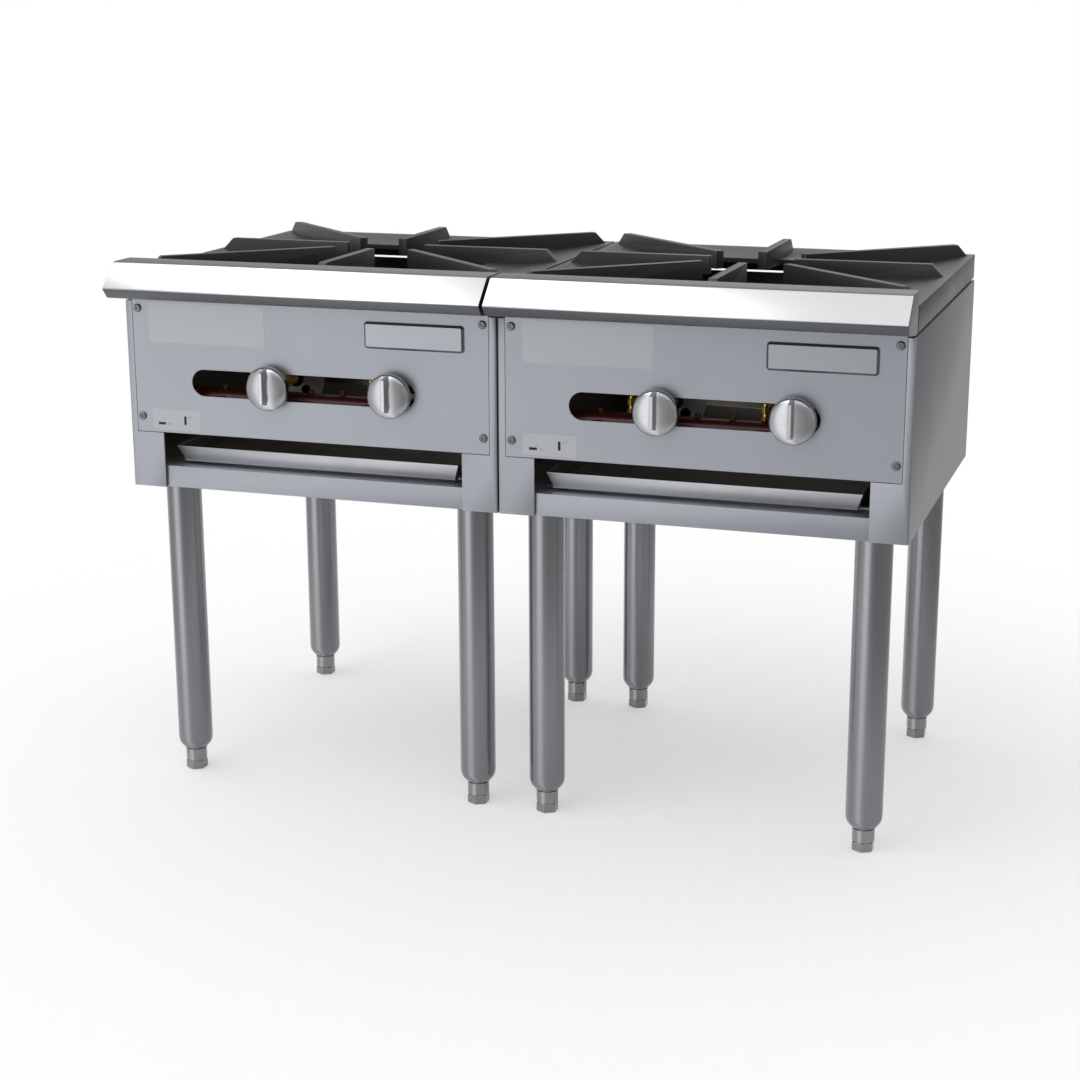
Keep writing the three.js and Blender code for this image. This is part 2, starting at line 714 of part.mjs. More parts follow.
// The right-hand pilot valve, and a small pipe from it to a pilot beside the outer ring.
function pilotBurner() {
  const crown = manifoldZ + pipeRadius + gap;
  const level = crown + pilotOutlet;
  const headY = potY - outerRing.outside - pilotHeadRadius - 2 * gap;
  const half = pilotHeadHeight / 2;
  const headZ = ringTop - half;
  const [low, high] = [headZ - half, headZ + half];
  const route = [
    [pilotX.right, manifoldY, level],
    [pilotX.right, (manifoldY + mouthY) / 2, level],
    [pilotX.right - pilotRadius, mouthY + mouthDepth / 2, level + pilotRadius],
    [pilotX.right / 2, (mouthY + headY) / 2, (level + headZ) / 2],
    [2 * pilotHeadRadius, headY - pilotHeadRadius, headZ - 2 * pilotHeadHeight],
    [0, headY, headZ - pilotHeadHeight],
    [0, headY, headZ],
  ];
  return join([
    rod(pilotValveRadius, crown, crown + pilotValveHeight, "z", [pilotX.right, manifoldY, 0], hexSides),
    bar(route, pilotRadius, pilotPieces.sides, pilotPieces.steps),
    turned(
      [[0, low], [pilotHeadRadius, low], [pilotHeadRadius, high], [0, high]],
      "z",
      [0, headY, 0],
      pilotPieces.head,
    ),
  ]);
}

// ---- Legs and feet ----

// A leg: a tube with a swaged neck, welded under a plate that takes four bolts.
// inX and inY point from the leg's axis towards the middle of the range.
function leg(x, y, inX, inY) {
  const neckTop = legNeckBottom + legNeckHeight;
  const boreRadius = footStemRadius + gap;
  const tube = turned(
    [
      [boreRadius, legNeckBottom], [legNeckRadius, legNeckBottom], [legNeckRadius, neckTop],
      [legRadius, neckTop + legTaper], [legRadius, legPlateBottom + spill],
      [legRadius - legWall, legPlateBottom + spill], [legRadius - legWall, neckTop + legTaper],
      [boreRadius, neckTop], [boreRadius, legNeckBottom],
    ],
    "z",
    [x, y, 0],
    legPieces,
  );
  const span = (centre, inwards) =>
    inwards > 0 ? [centre - legPlateOut, centre + legPlateIn] : [centre - legPlateIn, centre + legPlateOut];
  const plate = block(span(x, inX), span(y, inY), [legPlateBottom, legPlateTop]);
  const bolts = [];
  for (const alongX of [-boltOut, boltIn]) {
    for (const alongY of [-boltOut, boltIn]) {
      const at = [x + alongX * inX, y + alongY * inY, 0];
      const bottom = legPlateBottom - boltHeadHeight;
      bolts.push(rod(boltHeadRadius, bottom, legPlateBottom + spill, "z", at, hexSides));
    }
  }
  return join([tube, plate, ...bolts]);
}

function foot(x, y) {
  const hex = turned(
    [
      [0, 0], [footHexRadius - footEdge, 0], [footHexRadius, footEdge],
      [footHexRadius, footHexHeight - footEdge], [footStemRadius, footHexHeight], [0, footHexHeight],
    ],
    "z",
    [x, y, 0],
    hexSides,
  );
  const stem = rod(footStemRadius, footHexHeight - spill, footStemTop, "z", [x, y, 0], legPieces);
  return join([hex, stem]);
}

// ---- Banking bolt: its head and nut clamp the two inner side walls together ----

function bankingBolt(y) {
  const clamp = seam / 2 + sheet + gap;
  const shank = clamp + bankingHeadHeight;
  const centre = [0, y, bankingZ];
  return join([
    rod(bankingRadius, -shank, shank, "x", centre, pipePieces),
    rod(bankingHeadRadius, clamp, shank, "x", centre, hexSides),
    rod(bankingHeadRadius, -shank, -clamp, "x", centre, hexSides),
  ]);
}

// ---- Assembly ----

const finishes = {
  stainless: { color: 0xa5a8ad, roughness: 0.38, metalness: 0.9 },
  brightStainless: { color: 0xdfe1e4, roughness: 0.22, metalness: 1 },
  tubeStainless: { color: 0x8f9297, roughness: 0.34, metalness: 0.95 },
  footSteel: { color: 0xb4b6b6, roughness: 0.3, metalness: 1 },
  castIron: { color: 0x4b4d50, roughness: 0.62, metalness: 0.55 },
  burnerIron: { color: 0x2c2c2d, roughness: 0.8, metalness: 0.4 },
  chrome: { color: 0xc9cbcd, roughness: 0.18, metalness: 1 },
  brass: { color: 0xb08a34, roughness: 0.35, metalness: 0.95 },
  pipe: { color: 0x4a1c12, roughness: 0.55, metalness: 0.3 },
  copper: { color: 0xb0643f, roughness: 0.35, metalness: 0.95 },
  traySteel: { color: 0x9a9da0, roughness: 0.35, metalness: 0.9 },
  zinc: { color: 0x8d9092, roughness: 0.4, metalness: 0.9 },
};

const creaseAngle = THREE.MathUtils.degToRad(35);

function piece(name, shape, finish) {
  const { vertProperties, triVerts } = shape.getMesh();
  const geometry = new THREE.BufferGeometry();
  geometry.setAttribute("position", new THREE.BufferAttribute(vertProperties, 3));
  geometry.setIndex(new THREE.BufferAttribute(triVerts, 1));
  const material = new THREE.MeshStandardMaterial(finishes[finish]);
  const mesh = new THREE.Mesh(toCreasedNormals(geometry, creaseAngle), material);
  mesh.name = name;
  return mesh;
}

// One range. `inward` is the side that its neighbour stands on: 1 for its right, -1 for its left.
function stockPotRange(unit, inward) {
  const group = new THREE.Group();
  const add = (name, shape, finish) => group.add(piece(`${unit}_${name}`, shape, finish));
  add("left_side_panel", sidePanel(-1, inward < 0), "stainless");
  add("right_side_panel", sidePanel(1, inward > 0), "stainless");
  add("rear_panel", rearPanel(), "stainless");
  add("lower_crossbar", lowerCrossbar(), "stainless");
  add("control_panel", controlPanel(), "stainless");
  add("nameplate", nameplate(), "stainless");
  add("front_rail", frontRail(), "brightStainless");
  add("top_grate", topGrate(), "castIron");
  add("drip_tray", dripTray(), "traySteel");
  add("gas_manifold", gasManifold(), "pipe");
  add("gas_inlet_pipe", inletPipe(), "pipe");
  add("pilot_burner", pilotBurner(), "copper");
  add("burner_support", burnerSupport(), "zinc");
  add("outer_burner", outerBurner(), "burnerIron");
  add("inner_burner", innerBurner(), "burnerIron");
  add("outer_air_shutter", airShutter(valveX.left, "outer"), "zinc");
  add("inner_air_shutter", airShutter(valveX.right, "inner"), "zinc");
  for (const [where, x] of Object.entries(valveX)) {
    add(`${where}_valve`, valve(x), "brass");
    add(`${where}_knob`, knob(x), "chrome");
  }
  for (const [end, y, inY] of [["front", legFrontY, 1], ["rear", legRearY, -1]]) {
    for (const [where, x] of [["left", -legX], ["right", legX]]) {
      add(`${end}_${where}_leg`, leg(x, y, -Math.sign(x), inY), "tubeStainless");
      add(`${end}_${where}_foot`, foot(x, y), "footSteel");
    }
  }
  group.position.x = (-inward * unitWidth) / 2;
  return group;
}

const ranges = new THREE.Group();
ranges.add(stockPotRange("left", 1), stockPotRange("right", -1));
["front", "rear"].forEach((end, i) => {
  ranges.add(piece(`${end}_banking_bolt`, bankingBolt(bankingY[i]), "zinc"));
});
// The frame's origin is on the floor, midway between the rails' noses and the ends of the inlet pipes.
ranges.position.y = -(railNoseY + inletEndY) / 2;

export default ranges;
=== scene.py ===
import math

import bmesh
import bpy
from mathutils import Matrix, Vector


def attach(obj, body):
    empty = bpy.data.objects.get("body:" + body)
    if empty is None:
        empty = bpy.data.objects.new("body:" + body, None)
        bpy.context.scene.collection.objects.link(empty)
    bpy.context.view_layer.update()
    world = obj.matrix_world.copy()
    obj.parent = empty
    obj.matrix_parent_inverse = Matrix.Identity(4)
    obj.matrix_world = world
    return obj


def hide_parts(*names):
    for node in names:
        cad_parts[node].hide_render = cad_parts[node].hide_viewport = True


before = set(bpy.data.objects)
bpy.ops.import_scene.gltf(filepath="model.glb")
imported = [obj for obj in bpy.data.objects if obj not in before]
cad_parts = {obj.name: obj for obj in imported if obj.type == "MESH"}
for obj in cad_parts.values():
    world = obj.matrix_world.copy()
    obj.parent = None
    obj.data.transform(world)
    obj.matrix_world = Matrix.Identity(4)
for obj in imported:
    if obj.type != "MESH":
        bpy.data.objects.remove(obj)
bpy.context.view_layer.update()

# ---- The picture: camera ----
# Two gas stock pot ranges, bolted side by side, are seen from the right of the pair and a little above,
# from standing eye height. Metres; the floor is at z 0, and y 0 is the middle of the pair from front to back.

HALF_PITCH = 0.2286  # middle of the pair to the middle of one range
FRONT_Y = -0.21785  # front face of the control panels
LEFT_X = -HALF_PITCH
CAMERA_PLACE = (0.76923, -2.35252, 0.93460)
CAMERA_TURN = math.radians(18.64)  # to the left of straight ahead
CAMERA_TILT = math.radians(75.17)  # up from straight down
CAMERA_ROLL = math.radians(-0.20)
LENS = 69.846  # millimetres, for a sensor 36 mm wide

camera_data = bpy.data.cameras.new("photo_camera")
camera_data.lens = LENS
camera_data.sensor_width = 36.0
camera_data.clip_end = 60.0
camera = bpy.data.objects.new("photo_camera", camera_data)
bpy.context.scene.collection.objects.link(camera)
camera.matrix_world = (
    Matrix.Translation(CAMERA_PLACE)
    @ Matrix.Rotation(CAMERA_TURN, 4, "Z")
    @ Matrix.Rotation(CAMERA_TILT, 4, "X")
    @ Matrix.Rotation(CAMERA_ROLL, 4, "Z")
)
bpy.context.scene.camera = camera
bpy.context.scene.view_settings.view_transform = "Standard"


# ---- Side panels ----
# Each cabinet side is one stainless sheet, folded round the front into a post and round the back into a
# flange. Tray runners and leg gussets are spot-welded inside, and the outside keeps its brushed finish. The
# outside's darker colour is painted shade, and the inner faces are painted darker still as shade.

def pick_nothing():
    if bpy.context.object and bpy.context.object.mode == "EDIT":
        bpy.ops.object.mode_set(mode="OBJECT")
    bpy.ops.object.select_all(action="DESELECT")


def work_on(piece):
    pick_nothing()
    bpy.context.view_layer.objects.active = piece
    piece.select_set(True)


def folded_from(node, name):
    """A piece with the outline of a node of the frame, its triangles merged back into whole faces."""
    piece = bpy.data.objects.new(name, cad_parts[node].data.copy())
    bpy.context.scene.collection.objects.link(piece)
    piece.data.materials.clear()
    work_on(piece)
    bpy.ops.object.mode_set(mode="EDIT")
    bpy.ops.mesh.select_all(action="SELECT")
    bpy.ops.mesh.remove_doubles(threshold=0.00001)
    bpy.ops.mesh.dissolve_limited(angle_limit=math.radians(0.6))
    bpy.ops.object.mode_set(mode="OBJECT")
    return piece


def round_edges(piece, width, segments=2, sharper_than=32):
    """Breaks every edge sharper than the angle, with flat faces kept flat in the shading."""
    work_on(piece)
    bpy.ops.object.shade_smooth()
    bevel = piece.modifiers.new("broken_edges", "BEVEL")
    bevel.limit_method = "ANGLE"
    bevel.angle_limit = math.radians(sharper_than)
    bevel.width = width
    bevel.segments = segments
    bevel.harden_normals = True
    bevel.use_clamp_overlap = True
    bpy.ops.object.modifier_apply(modifier=bevel.name)


def fold_edges(piece, is_fold, radius, segments=4):
    """Rounds only the sheet's folds: the edges whose two ends pass the test."""
    work_on(piece)
    bpy.ops.object.mode_set(mode="EDIT")
    bpy.ops.mesh.select_mode(type="EDGE")
    bpy.ops.mesh.select_all(action="DESELECT")
    mesh = bmesh.from_edit_mesh(piece.data)
    for edge in mesh.edges:
        if is_fold(*(end.co for end in edge.verts)):
            edge.select_set(True)
    bmesh.update_edit_mesh(piece.data)
    bpy.ops.mesh.bevel(
        offset=radius, offset_type="OFFSET", segments=segments, affect="EDGES", clamp_overlap=True
    )
    bpy.ops.object.mode_set(mode="OBJECT")


def dress(piece, material, *parts):
    """Gives the piece its material, and each further one to the faces whose middle and normal pass a test."""
    piece.data.materials.clear()
    piece.data.materials.append(material)
    for face in piece.data.polygons:
        face.material_index = 0
    for number, (other, test) in enumerate(parts, start=1):
        piece.data.materials.append(other)
        for face in piece.data.polygons:
            if test(face.center, face.normal):
                face.material_index = number


def finish(piece, body, slot, *nodes):
    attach(piece, body)
    if nodes:
        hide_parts(*nodes)


def group(name, inputs, outputs):
    """A shader node group with named sockets. Colours are given as (r, g, b, a), vectors as None."""
    tree = bpy.data.node_groups.new(name, "ShaderNodeTree")
    for socket, default in inputs:
        kind = "Vector" if default is None else "Color" if isinstance(default, tuple) else "Float"
        made = tree.interface.new_socket(socket, in_out="INPUT", socket_type="NodeSocket" + kind)
        if default is not None:
            made.default_value = default
    for socket, kind in outputs:
        tree.interface.new_socket(socket, in_out="OUTPUT", socket_type="NodeSocket" + kind)
    return tree, tree.nodes.new("NodeGroupInput").outputs, tree.nodes.new("NodeGroupOutput").inputs


def math_node(tree, operation, *values):
    node = tree.nodes.new("ShaderNodeMath")
    node.operation = operation
    for socket, value in zip(node.inputs, values):
        if isinstance(value, (int, float)):
            socket.default_value = value
        else:
            tree.links.new(value, socket)
    return node.outputs[0]


def noise(tree, vector, scale, detail=2.0, roughness=0.5):
    node = tree.nodes.new("ShaderNodeTexNoise")
    node.inputs["Scale"].default_value = scale
    node.inputs["Detail"].default_value = detail
    node.inputs["Roughness"].default_value = roughness
    tree.links.new(vector, node.inputs["Vector"])
    return node.outputs["Fac"]


def tinted(tree, color, factor):
    """The colour made darker or lighter by a factor about 1."""
    node = tree.nodes.new("ShaderNodeVectorMath")
    node.operation = "SCALE"
    tree.links.new(color, node.inputs[0])
    tree.links.new(factor, node.inputs["Scale"])
    return node.outputs["Vector"]


def brushed_steel_group():
    """Abrasive-belt lines along the grain, sheet-wide tone, and the soft marks of handling and wiping."""
    tree, given, made = group(
        "brushed_steel",
        [("Along Grain", None), ("Place", None), ("Color", (0.4, 0.4, 0.4, 1.0)), ("Roughness", 0.35),
         ("Lines", 0.1), ("Marks", 0.08)],
        [("Color", "Color"), ("Roughness", "Float"), ("Height", "Float")],
    )
    lines = noise(tree, given["Along Grain"], 1.0, detail=4.0, roughness=0.7)
    sheet_tone = noise(tree, given["Place"], 3.1, detail=1.0)
    marks = noise(tree, given["Place"], 17.0, detail=5.0, roughness=0.62)
    line_part = math_node(tree, "MULTIPLY", math_node(tree, "SUBTRACT", lines, 0.5), given["Lines"])
    tone_part = math_node(tree, "MULTIPLY", math_node(tree, "SUBTRACT", sheet_tone, 0.5), 0.16)
    mark_part = math_node(tree, "MULTIPLY", math_node(tree, "SUBTRACT", marks, 0.5), given["Marks"])
    shade = math_node(tree, "ADD", math_node(tree, "ADD", line_part, tone_part), mark_part)
    tree.links.new(tinted(tree, given["Color"], math_node(tree, "ADD", shade, 1.0)), made["Color"])
    rough = math_node(tree, "ADD", given["Roughness"], math_node(tree, "MULTIPLY", line_part, 0.6))
    rough = math_node(tree, "SUBTRACT", rough, math_node(tree, "MULTIPLY", mark_part, 0.9))
    tree.links.new(rough, made["Roughness"])
    tree.links.new(lines, made["Height"])
    return tree


BRUSHED_STEEL = brushed_steel_group()


def principled(name, metallic, specular=0.5):
    material = bpy.data.materials.new(name)
    material.use_nodes = True
    shader = material.node_tree.nodes["Principled BSDF"]
    shader.inputs["Metallic"].default_value = metallic
    shader.inputs["Specular IOR Level"].default_value = specular
    return material, material.node_tree, shader


def object_place(tree, scale=(1, 1, 1)):
    coordinates = tree.nodes.new("ShaderNodeTexCoord")
    mapping = tree.nodes.new("ShaderNodeMapping")
    mapping.inputs["Scale"].default_value = scale
    tree.links.new(coordinates.outputs["Object"], mapping.inputs["Vector"])
    return mapping.outputs["Vector"]


def bump(tree, shader, height, strength, distance):
    node = tree.nodes.new("ShaderNodeBump")
    node.inputs["Strength"].default_value = strength
    node.inputs["Distance"].default_value = distance
    tree.links.new(height, node.inputs["Height"])
    tree.links.new(node.outputs["Normal"], shader.inputs["Normal"])


def skin(tree, node_group, color, values):
    """Places a group of surface effects in a material, with its colour and its other values."""
    surface = tree.nodes.new("ShaderNodeGroup")
    surface.node_tree = node_group
    tree.links.new(object_place(tree), surface.inputs["Place"])
    surface.inputs["Color"].default_value = (*color, 1.0)
    for socket, value in values.items():
        surface.inputs[socket].default_value = value
    return surface


def wear_skin(tree, shader, surface, strength, distance):
    """Gives the shader the skin's colour and roughness, and its height as a bump."""
    tree.links.new(surface.outputs["Color"], shader.inputs["Base Color"])
    tree.links.new(surface.outputs["Roughness"], shader.inputs["Roughness"])
    bump(tree, shader, surface.outputs["Height"], strength, distance)


def brushed(name, color, roughness, grain, lines=0.1, marks=0.08, metallic=1.0, depth=0.05):
    """Brushed steel whose lines run along the axis where `grain` is small."""
    material, tree, shader = principled(name, metallic)
    steel = skin(tree, BRUSHED_STEEL, color, {"Roughness": roughness, "Lines": lines, "Marks": marks})
    tree.links.new(object_place(tree, scale=grain), steel.inputs["Along Grain"])
    wear_skin(tree, shader, steel, depth, 0.0002)
    return material


FRONT_SHEET = brushed(
    "front_sheet", (0.390, 0.408, 0.449), 0.38, grain=(10, 900, 900), lines=0.06, marks=0.05, metallic=0.7
)
POST_SHEET = brushed(
    "post_sheet", (0.389, 0.405, 0.441), 0.38, grain=(900, 900, 10), lines=0.06, marks=0.05, metallic=0.7
)
# Outer side walls: the same brushed steel in a darker colour, which is painted shade for sides turned from
# the light.
SIDE_WALL_PAINTED_SHADE = brushed("side_sheet", (0.215, 0.222, 0.237), 0.40, grain=(900, 14, 900), lines=0.10)
# Painted shade: a dark sheet for the inner faces of the sides, rear panels and trays, where the inside of the
# cabinet is in shade.
INSIDE_PAINTED_SHADE = brushed(
    "inside_painted_shade_sheet", (0.190, 0.172, 0.152), 0.50, grain=(9, 700, 700),
    lines=0.3, marks=0.7, metallic=0.7,
)
UNITS = (("left", -HALF_PITCH), ("right", HALF_PITCH))
BODY_HALF = 0.2280  # middle of a range to the outer face of its side panel
BODY_DEPTH = 0.4580
BODY_BOTTOM = 0.3650
FOLD_RADIUS = 0.0022
SHEET_EDGE = 0.0003  # sheared edges, broken by hand


def on_back(middle, normal):
    return normal.y > 0.5 and middle.y > FRONT_Y + BODY_DEPTH - 0.018


def on_post(middle, normal):
    return normal.y < -0.3 and middle.y < FRONT_Y + 0.006


def on_underside(middle, normal):
    return middle.z < BODY_BOTTOM + 0.0005


for unit, unit_x in UNITS:
    for hand, outwards in (("left", -1), ("right", 1)):
        wall_x = unit_x + outwards * BODY_HALF

        def at_corner(a, b):
            """An upright edge where the outer wall meets the front or the back."""
            on_wall = abs(a.x - wall_x) < 1e-4 and abs(b.x - wall_x) < 1e-4
            on_front_or_back = min(abs(a.y - FRONT_Y), abs(a.y - FRONT_Y - BODY_DEPTH)) < 1e-4
            return on_wall and on_front_or_back and abs(a.y - b.y) < 1e-5 and abs(a.z - b.z) > 0.02

        def on_outside(middle, normal):
            return normal.x * outwards > 0.5 and abs(middle.x - wall_x) < FOLD_RADIUS

        side_panel = folded_from(f"{unit}_{hand}_side_panel", f"{unit}_{hand}_cabinet_side")
        fold_edges(side_panel, at_corner, FOLD_RADIUS)
        round_edges(side_panel, SHEET_EDGE)
        # Outsides get the painted-shade side colour, and the inner faces get the painted shade of the
        # cabinet's inside.
        dress(
            side_panel, INSIDE_PAINTED_SHADE,
            (SIDE_WALL_PAINTED_SHADE, on_outside), (SIDE_WALL_PAINTED_SHADE, on_back),
            (POST_SHEET, on_post), (POST_SHEET, on_underside),
        )
        finish(side_panel, "cabinets", "stainless", f"{unit}_{hand}_side_panel")


# ---- Rear panels ----
# A flat stainless sheet closes the back of each cabinet between the side flanges, with a hole for the
# gas inlet pipe. Pan-head screws hold it along both edges.

REAR_SHEET = brushed("rear_sheet", (0.30, 0.305, 0.315), 0.44, grain=(14, 900, 900))
for unit in ("left", "right"):
    rear_panel = folded_from(f"{unit}_rear_panel", f"{unit}_cabinet_back")
    round_edges(rear_panel, SHEET_EDGE)
    # Its inner face gets the painted shade of the cabinet's inside.
    dress(rear_panel, REAR_SHEET, (INSIDE_PAINTED_SHADE, lambda middle, normal: normal.y < -0.5))
    finish(rear_panel, "cabinets", "stainless", f"{unit}_rear_panel")


# ---- Lower crossbars ----
# Under the tray opening a stainless bar ties the two posts together. Its top is folded back into a ledge
# with an upturned lip, which the tray slides over.

CROSSBAR_FOLD = 0.0011
for unit in ("left", "right"):
    crossbar = folded_from(f"{unit}_lower_crossbar", f"{unit}_front_crossbar")
    round_edges(crossbar, CROSSBAR_FOLD, segments=3)
    dress(crossbar, FRONT_SHEET)
    finish(crossbar, "cabinets", "stainless", f"{unit}_lower_crossbar")


# ---- Control panels ----
# The front of each range is a flat stainless sheet with a flange at its top edge under the rail. One long
# punched slot with round ends lets air in and shows the valves behind it.

PANEL_HALF = 0.2190
PANEL_BOTTOM = 0.4310
PANEL_TOP = 0.5863
PANEL_SHEET = 0.0015
PANEL_FLANGE = 0.0120
PANEL_EDGE = 0.00035
SLOT_X = -0.0073  # from the middle of the range
SLOT_Z = 0.4922
SLOT_LENGTH = 0.2768
SLOT_HEIGHT = 0.0312


def block(name, low, high):
    """A box between two corners, left active and in object mode."""
    pick_nothing()
    low, high = Vector(low), Vector(high)
    bpy.ops.mesh.primitive_cube_add(size=1.0, location=(low + high) / 2, scale=high - low)
    piece = bpy.context.object
    piece.name = name
    bpy.ops.object.transform_apply(location=True, rotation=True, scale=True)
    return piece


def pick_faces(piece, test):
    """In edit mode: selects just the faces whose middle and normal pass the test."""
    bpy.ops.mesh.select_mode(type="FACE")
    bpy.ops.mesh.select_all(action="DESELECT")
    mesh = bmesh.from_edit_mesh(piece.data)
    for face in mesh.faces:
        if test(face.calc_center_median(), face.normal):
            face.select_set(True)
    mesh.select_flush_mode()
    bmesh.update_edit_mesh(piece.data)


def cut_out(piece, tool):
    """Cuts the tool's shape out of the piece, and uses the tool up."""
    work_on(piece)
    cutter = piece.modifiers.new("punch", "BOOLEAN")
    cutter.operation = "DIFFERENCE"
    cutter.solver = "EXACT"
    cutter.object = tool
    bpy.ops.object.modifier_apply(modifier=cutter.name)
    bpy.data.objects.remove(tool)


def right_hand_copy(piece, name):
    """The same piece on the right-hand range, with a mesh of its own."""
    copy = bpy.data.objects.new(name, piece.data.copy())
    bpy.context.scene.collection.objects.link(copy)
    copy.data.transform(Matrix.Translation((2 * HALF_PITCH, 0, 0)))
    return copy


def on_both_ranges(piece, material, slot, node=None, body="cabinets", parts=()):
    """Finishes a piece named left_... and its copy on the right-hand range. {unit} in `body` is filled in."""
    dress(piece, material, *parts)
    copy = right_hand_copy(piece, piece.name.replace("left_", "right_", 1))
    for unit, each in (("left", piece), ("right", copy)):
        nodes = [f"{unit}_{node}"] if node else []
        finish(each, body.format(unit=unit), slot, *nodes)


control_panel = block(
    "left_front_panel",
    (LEFT_X - PANEL_HALF, FRONT_Y, PANEL_BOTTOM),
    (LEFT_X + PANEL_HALF, FRONT_Y + PANEL_SHEET, PANEL_TOP),
)
bpy.ops.object.mode_set(mode="EDIT")
bpy.ops.mesh.select_all(action="SELECT")
bpy.ops.mesh.bisect(plane_co=(0, 0, PANEL_TOP - PANEL_SHEET), plane_no=(0, 0, 1))
pick_faces(control_panel, lambda middle, normal: normal.y > 0.9 and middle.z > PANEL_TOP - PANEL_SHEET)
bpy.ops.mesh.extrude_region_move(TRANSFORM_OT_translate={"value": (0, PANEL_FLANGE - PANEL_SHEET, 0)})
bpy.ops.object.mode_set(mode="OBJECT")

# The punch is a round bar, cut in two and pulled out to the slot's length.
pick_nothing()
bpy.ops.mesh.primitive_cylinder_add(
    vertices=64, radius=SLOT_HEIGHT / 2, depth=0.02, rotation=(math.pi / 2, 0, 0),
    location=(LEFT_X + SLOT_X, FRONT_Y, SLOT_Z),
)
punch = bpy.context.object
bpy.ops.object.transform_apply(location=True, rotation=True, scale=True)
bpy.ops.object.mode_set(mode="EDIT")
bpy.ops.mesh.select_all(action="SELECT")
bpy.ops.mesh.bisect(plane_co=(LEFT_X + SLOT_X, 0, 0), plane_no=(1, 0, 0))
for side in (-1, 1):
    bpy.ops.mesh.select_mode(type="VERT")
    bpy.ops.mesh.select_all(action="DESELECT")
    mesh = bmesh.from_edit_mesh(punch.data)
    for corner in mesh.verts:
        if side * (corner.co.x - LEFT_X - SLOT_X) > 1e-5:
            corner.select_set(True)
    mesh.select_flush_mode()
    bmesh.update_edit_mesh(punch.data)
    bpy.ops.transform.translate(value=(side * (SLOT_LENGTH - SLOT_HEIGHT) / 2, 0, 0))
bpy.ops.object.mode_set(mode="OBJECT")
cut_out(control_panel, punch)
round_edges(control_panel, PANEL_EDGE, sharper_than=40)
on_both_ranges(control_panel, FRONT_SHEET, "stainless", "control_panel")


# ---- Sheet-metal screws ----
# Plated truss-head screws with a cross recess hold the control panel to the posts at its four corners,
# and the rear panel to the flanges. Each is driven home, so only its head shows.

SCREW_STEEL = brushed("screw_steel", (0.20, 0.205, 0.215), 0.34, grain=(300, 300, 300), lines=0.25, marks=0.3)
SCREW_HEAD = 0.00485
SCREW_HEIGHT = 0.0021
SCREW_CROWN = 0.0018  # rounding of the head
SCREW_SEAT = 0.00002  # sheet to the underside of the head
RECESS_LENGTH = 0.0048
RECESS_WIDTH = 0.0011
RECESS_DEPTH = 0.0011
PANEL_SCREWS = [(x, z) for x in (-0.212, 0.212) for z in (0.4493, 0.5760)]
REAR_SCREWS = [(x, z) for x in (-0.2205, 0.2205) for z in (0.385, 0.475, 0.565)]

pick_nothing()
bpy.ops.mesh.primitive_cylinder_add(
    vertices=28, radius=SCREW_HEAD, depth=SCREW_HEIGHT,
    rotation=(math.pi / 2, 0, 0), location=(0, -SCREW_HEIGHT / 2, 0),
)
screw = bpy.context.object
screw.name = "screw_pattern"
bpy.ops.object.transform_apply(location=True, rotation=True, scale=True)
bpy.ops.object.mode_set(mode="EDIT")
pick_faces(screw, lambda middle, normal: normal.y < -0.9)
bpy.ops.mesh.bevel(
    offset=SCREW_CROWN, offset_type="OFFSET", segments=4, affect="EDGES", profile=0.55, clamp_overlap=True
)
bpy.ops.object.mode_set(mode="OBJECT")
for recess_turn in (0.35, 0.35 + math.pi / 2):
    blade = block(
        "recess",
        (-RECESS_LENGTH / 2, -0.01, -RECESS_WIDTH / 2),
        (RECESS_LENGTH / 2, RECESS_DEPTH - SCREW_HEIGHT, RECESS_WIDTH / 2),
    )
    blade.data.transform(Matrix.Rotation(recess_turn, 4, "Y"))
    cut_out(screw, blade)
work_on(screw)
bpy.ops.object.shade_smooth_by_angle(angle=math.radians(35))


def drive_screw(name, place, turn):
    """Puts a copy of the screw in its place, each with its recess at another angle."""
    head = bpy.data.objects.new(name, screw.data.copy())
    bpy.context.scene.collection.objects.link(head)
    head.data.transform(Matrix.Translation(place) @ turn)
    dress(head, SCREW_STEEL)
    finish(head, "cabinets", "zinc_plated")


for unit, unit_x in UNITS:
    for i, (x, z) in enumerate(PANEL_SCREWS):
        place = (unit_x + x, FRONT_Y - SCREW_SEAT, z)
        drive_screw(f"{unit}_panel_screw_{i + 1}", place, Matrix.Rotation(0.7 * i, 4, "Y"))
    for i, (x, z) in enumerate(REAR_SCREWS):
        place = (unit_x + x, FRONT_Y + BODY_DEPTH + SCREW_SEAT, z)
        facing_back = Matrix.Rotation(math.pi, 4, "Z")
        drive_screw(f"{unit}_rear_screw_{i + 1}", place, facing_back @ Matrix.Rotation(0.9 * i, 4, "Y"))
bpy.data.objects.remove(screw)


# ---- Nameplates ----
# A thick satin plate stands on the upper right of each control panel, held from behind. Its wide bevel is
# given a darker colour than its face as painted shade, and the face is left bare.

def clouded_film_group():
    """A printed or satin film: faint unevenness of colour and gloss."""
    tree, given, made = group(
        "clouded_film",
        [("Place", None), ("Color", (0.5, 0.5, 0.5, 1.0)), ("Roughness", 0.4), ("Cloud", 0.1)],
        [("Color", "Color"), ("Roughness", "Float"), ("Height", "Float")],
    )
    cloud = noise(tree, given["Place"], 24.0, detail=3.0)
    fine = noise(tree, given["Place"], 900.0, detail=2.0)
    part = math_node(tree, "MULTIPLY", math_node(tree, "SUBTRACT", cloud, 0.5), given["Cloud"])
    tree.links.new(tinted(tree, given["Color"], math_node(tree, "ADD", part, 1.0)), made["Color"])
    tree.links.new(math_node(tree, "ADD", given["Roughness"], part), made["Roughness"])
    tree.links.new(fine, made["Height"])
    return tree


CLOUDED_FILM = clouded_film_group()


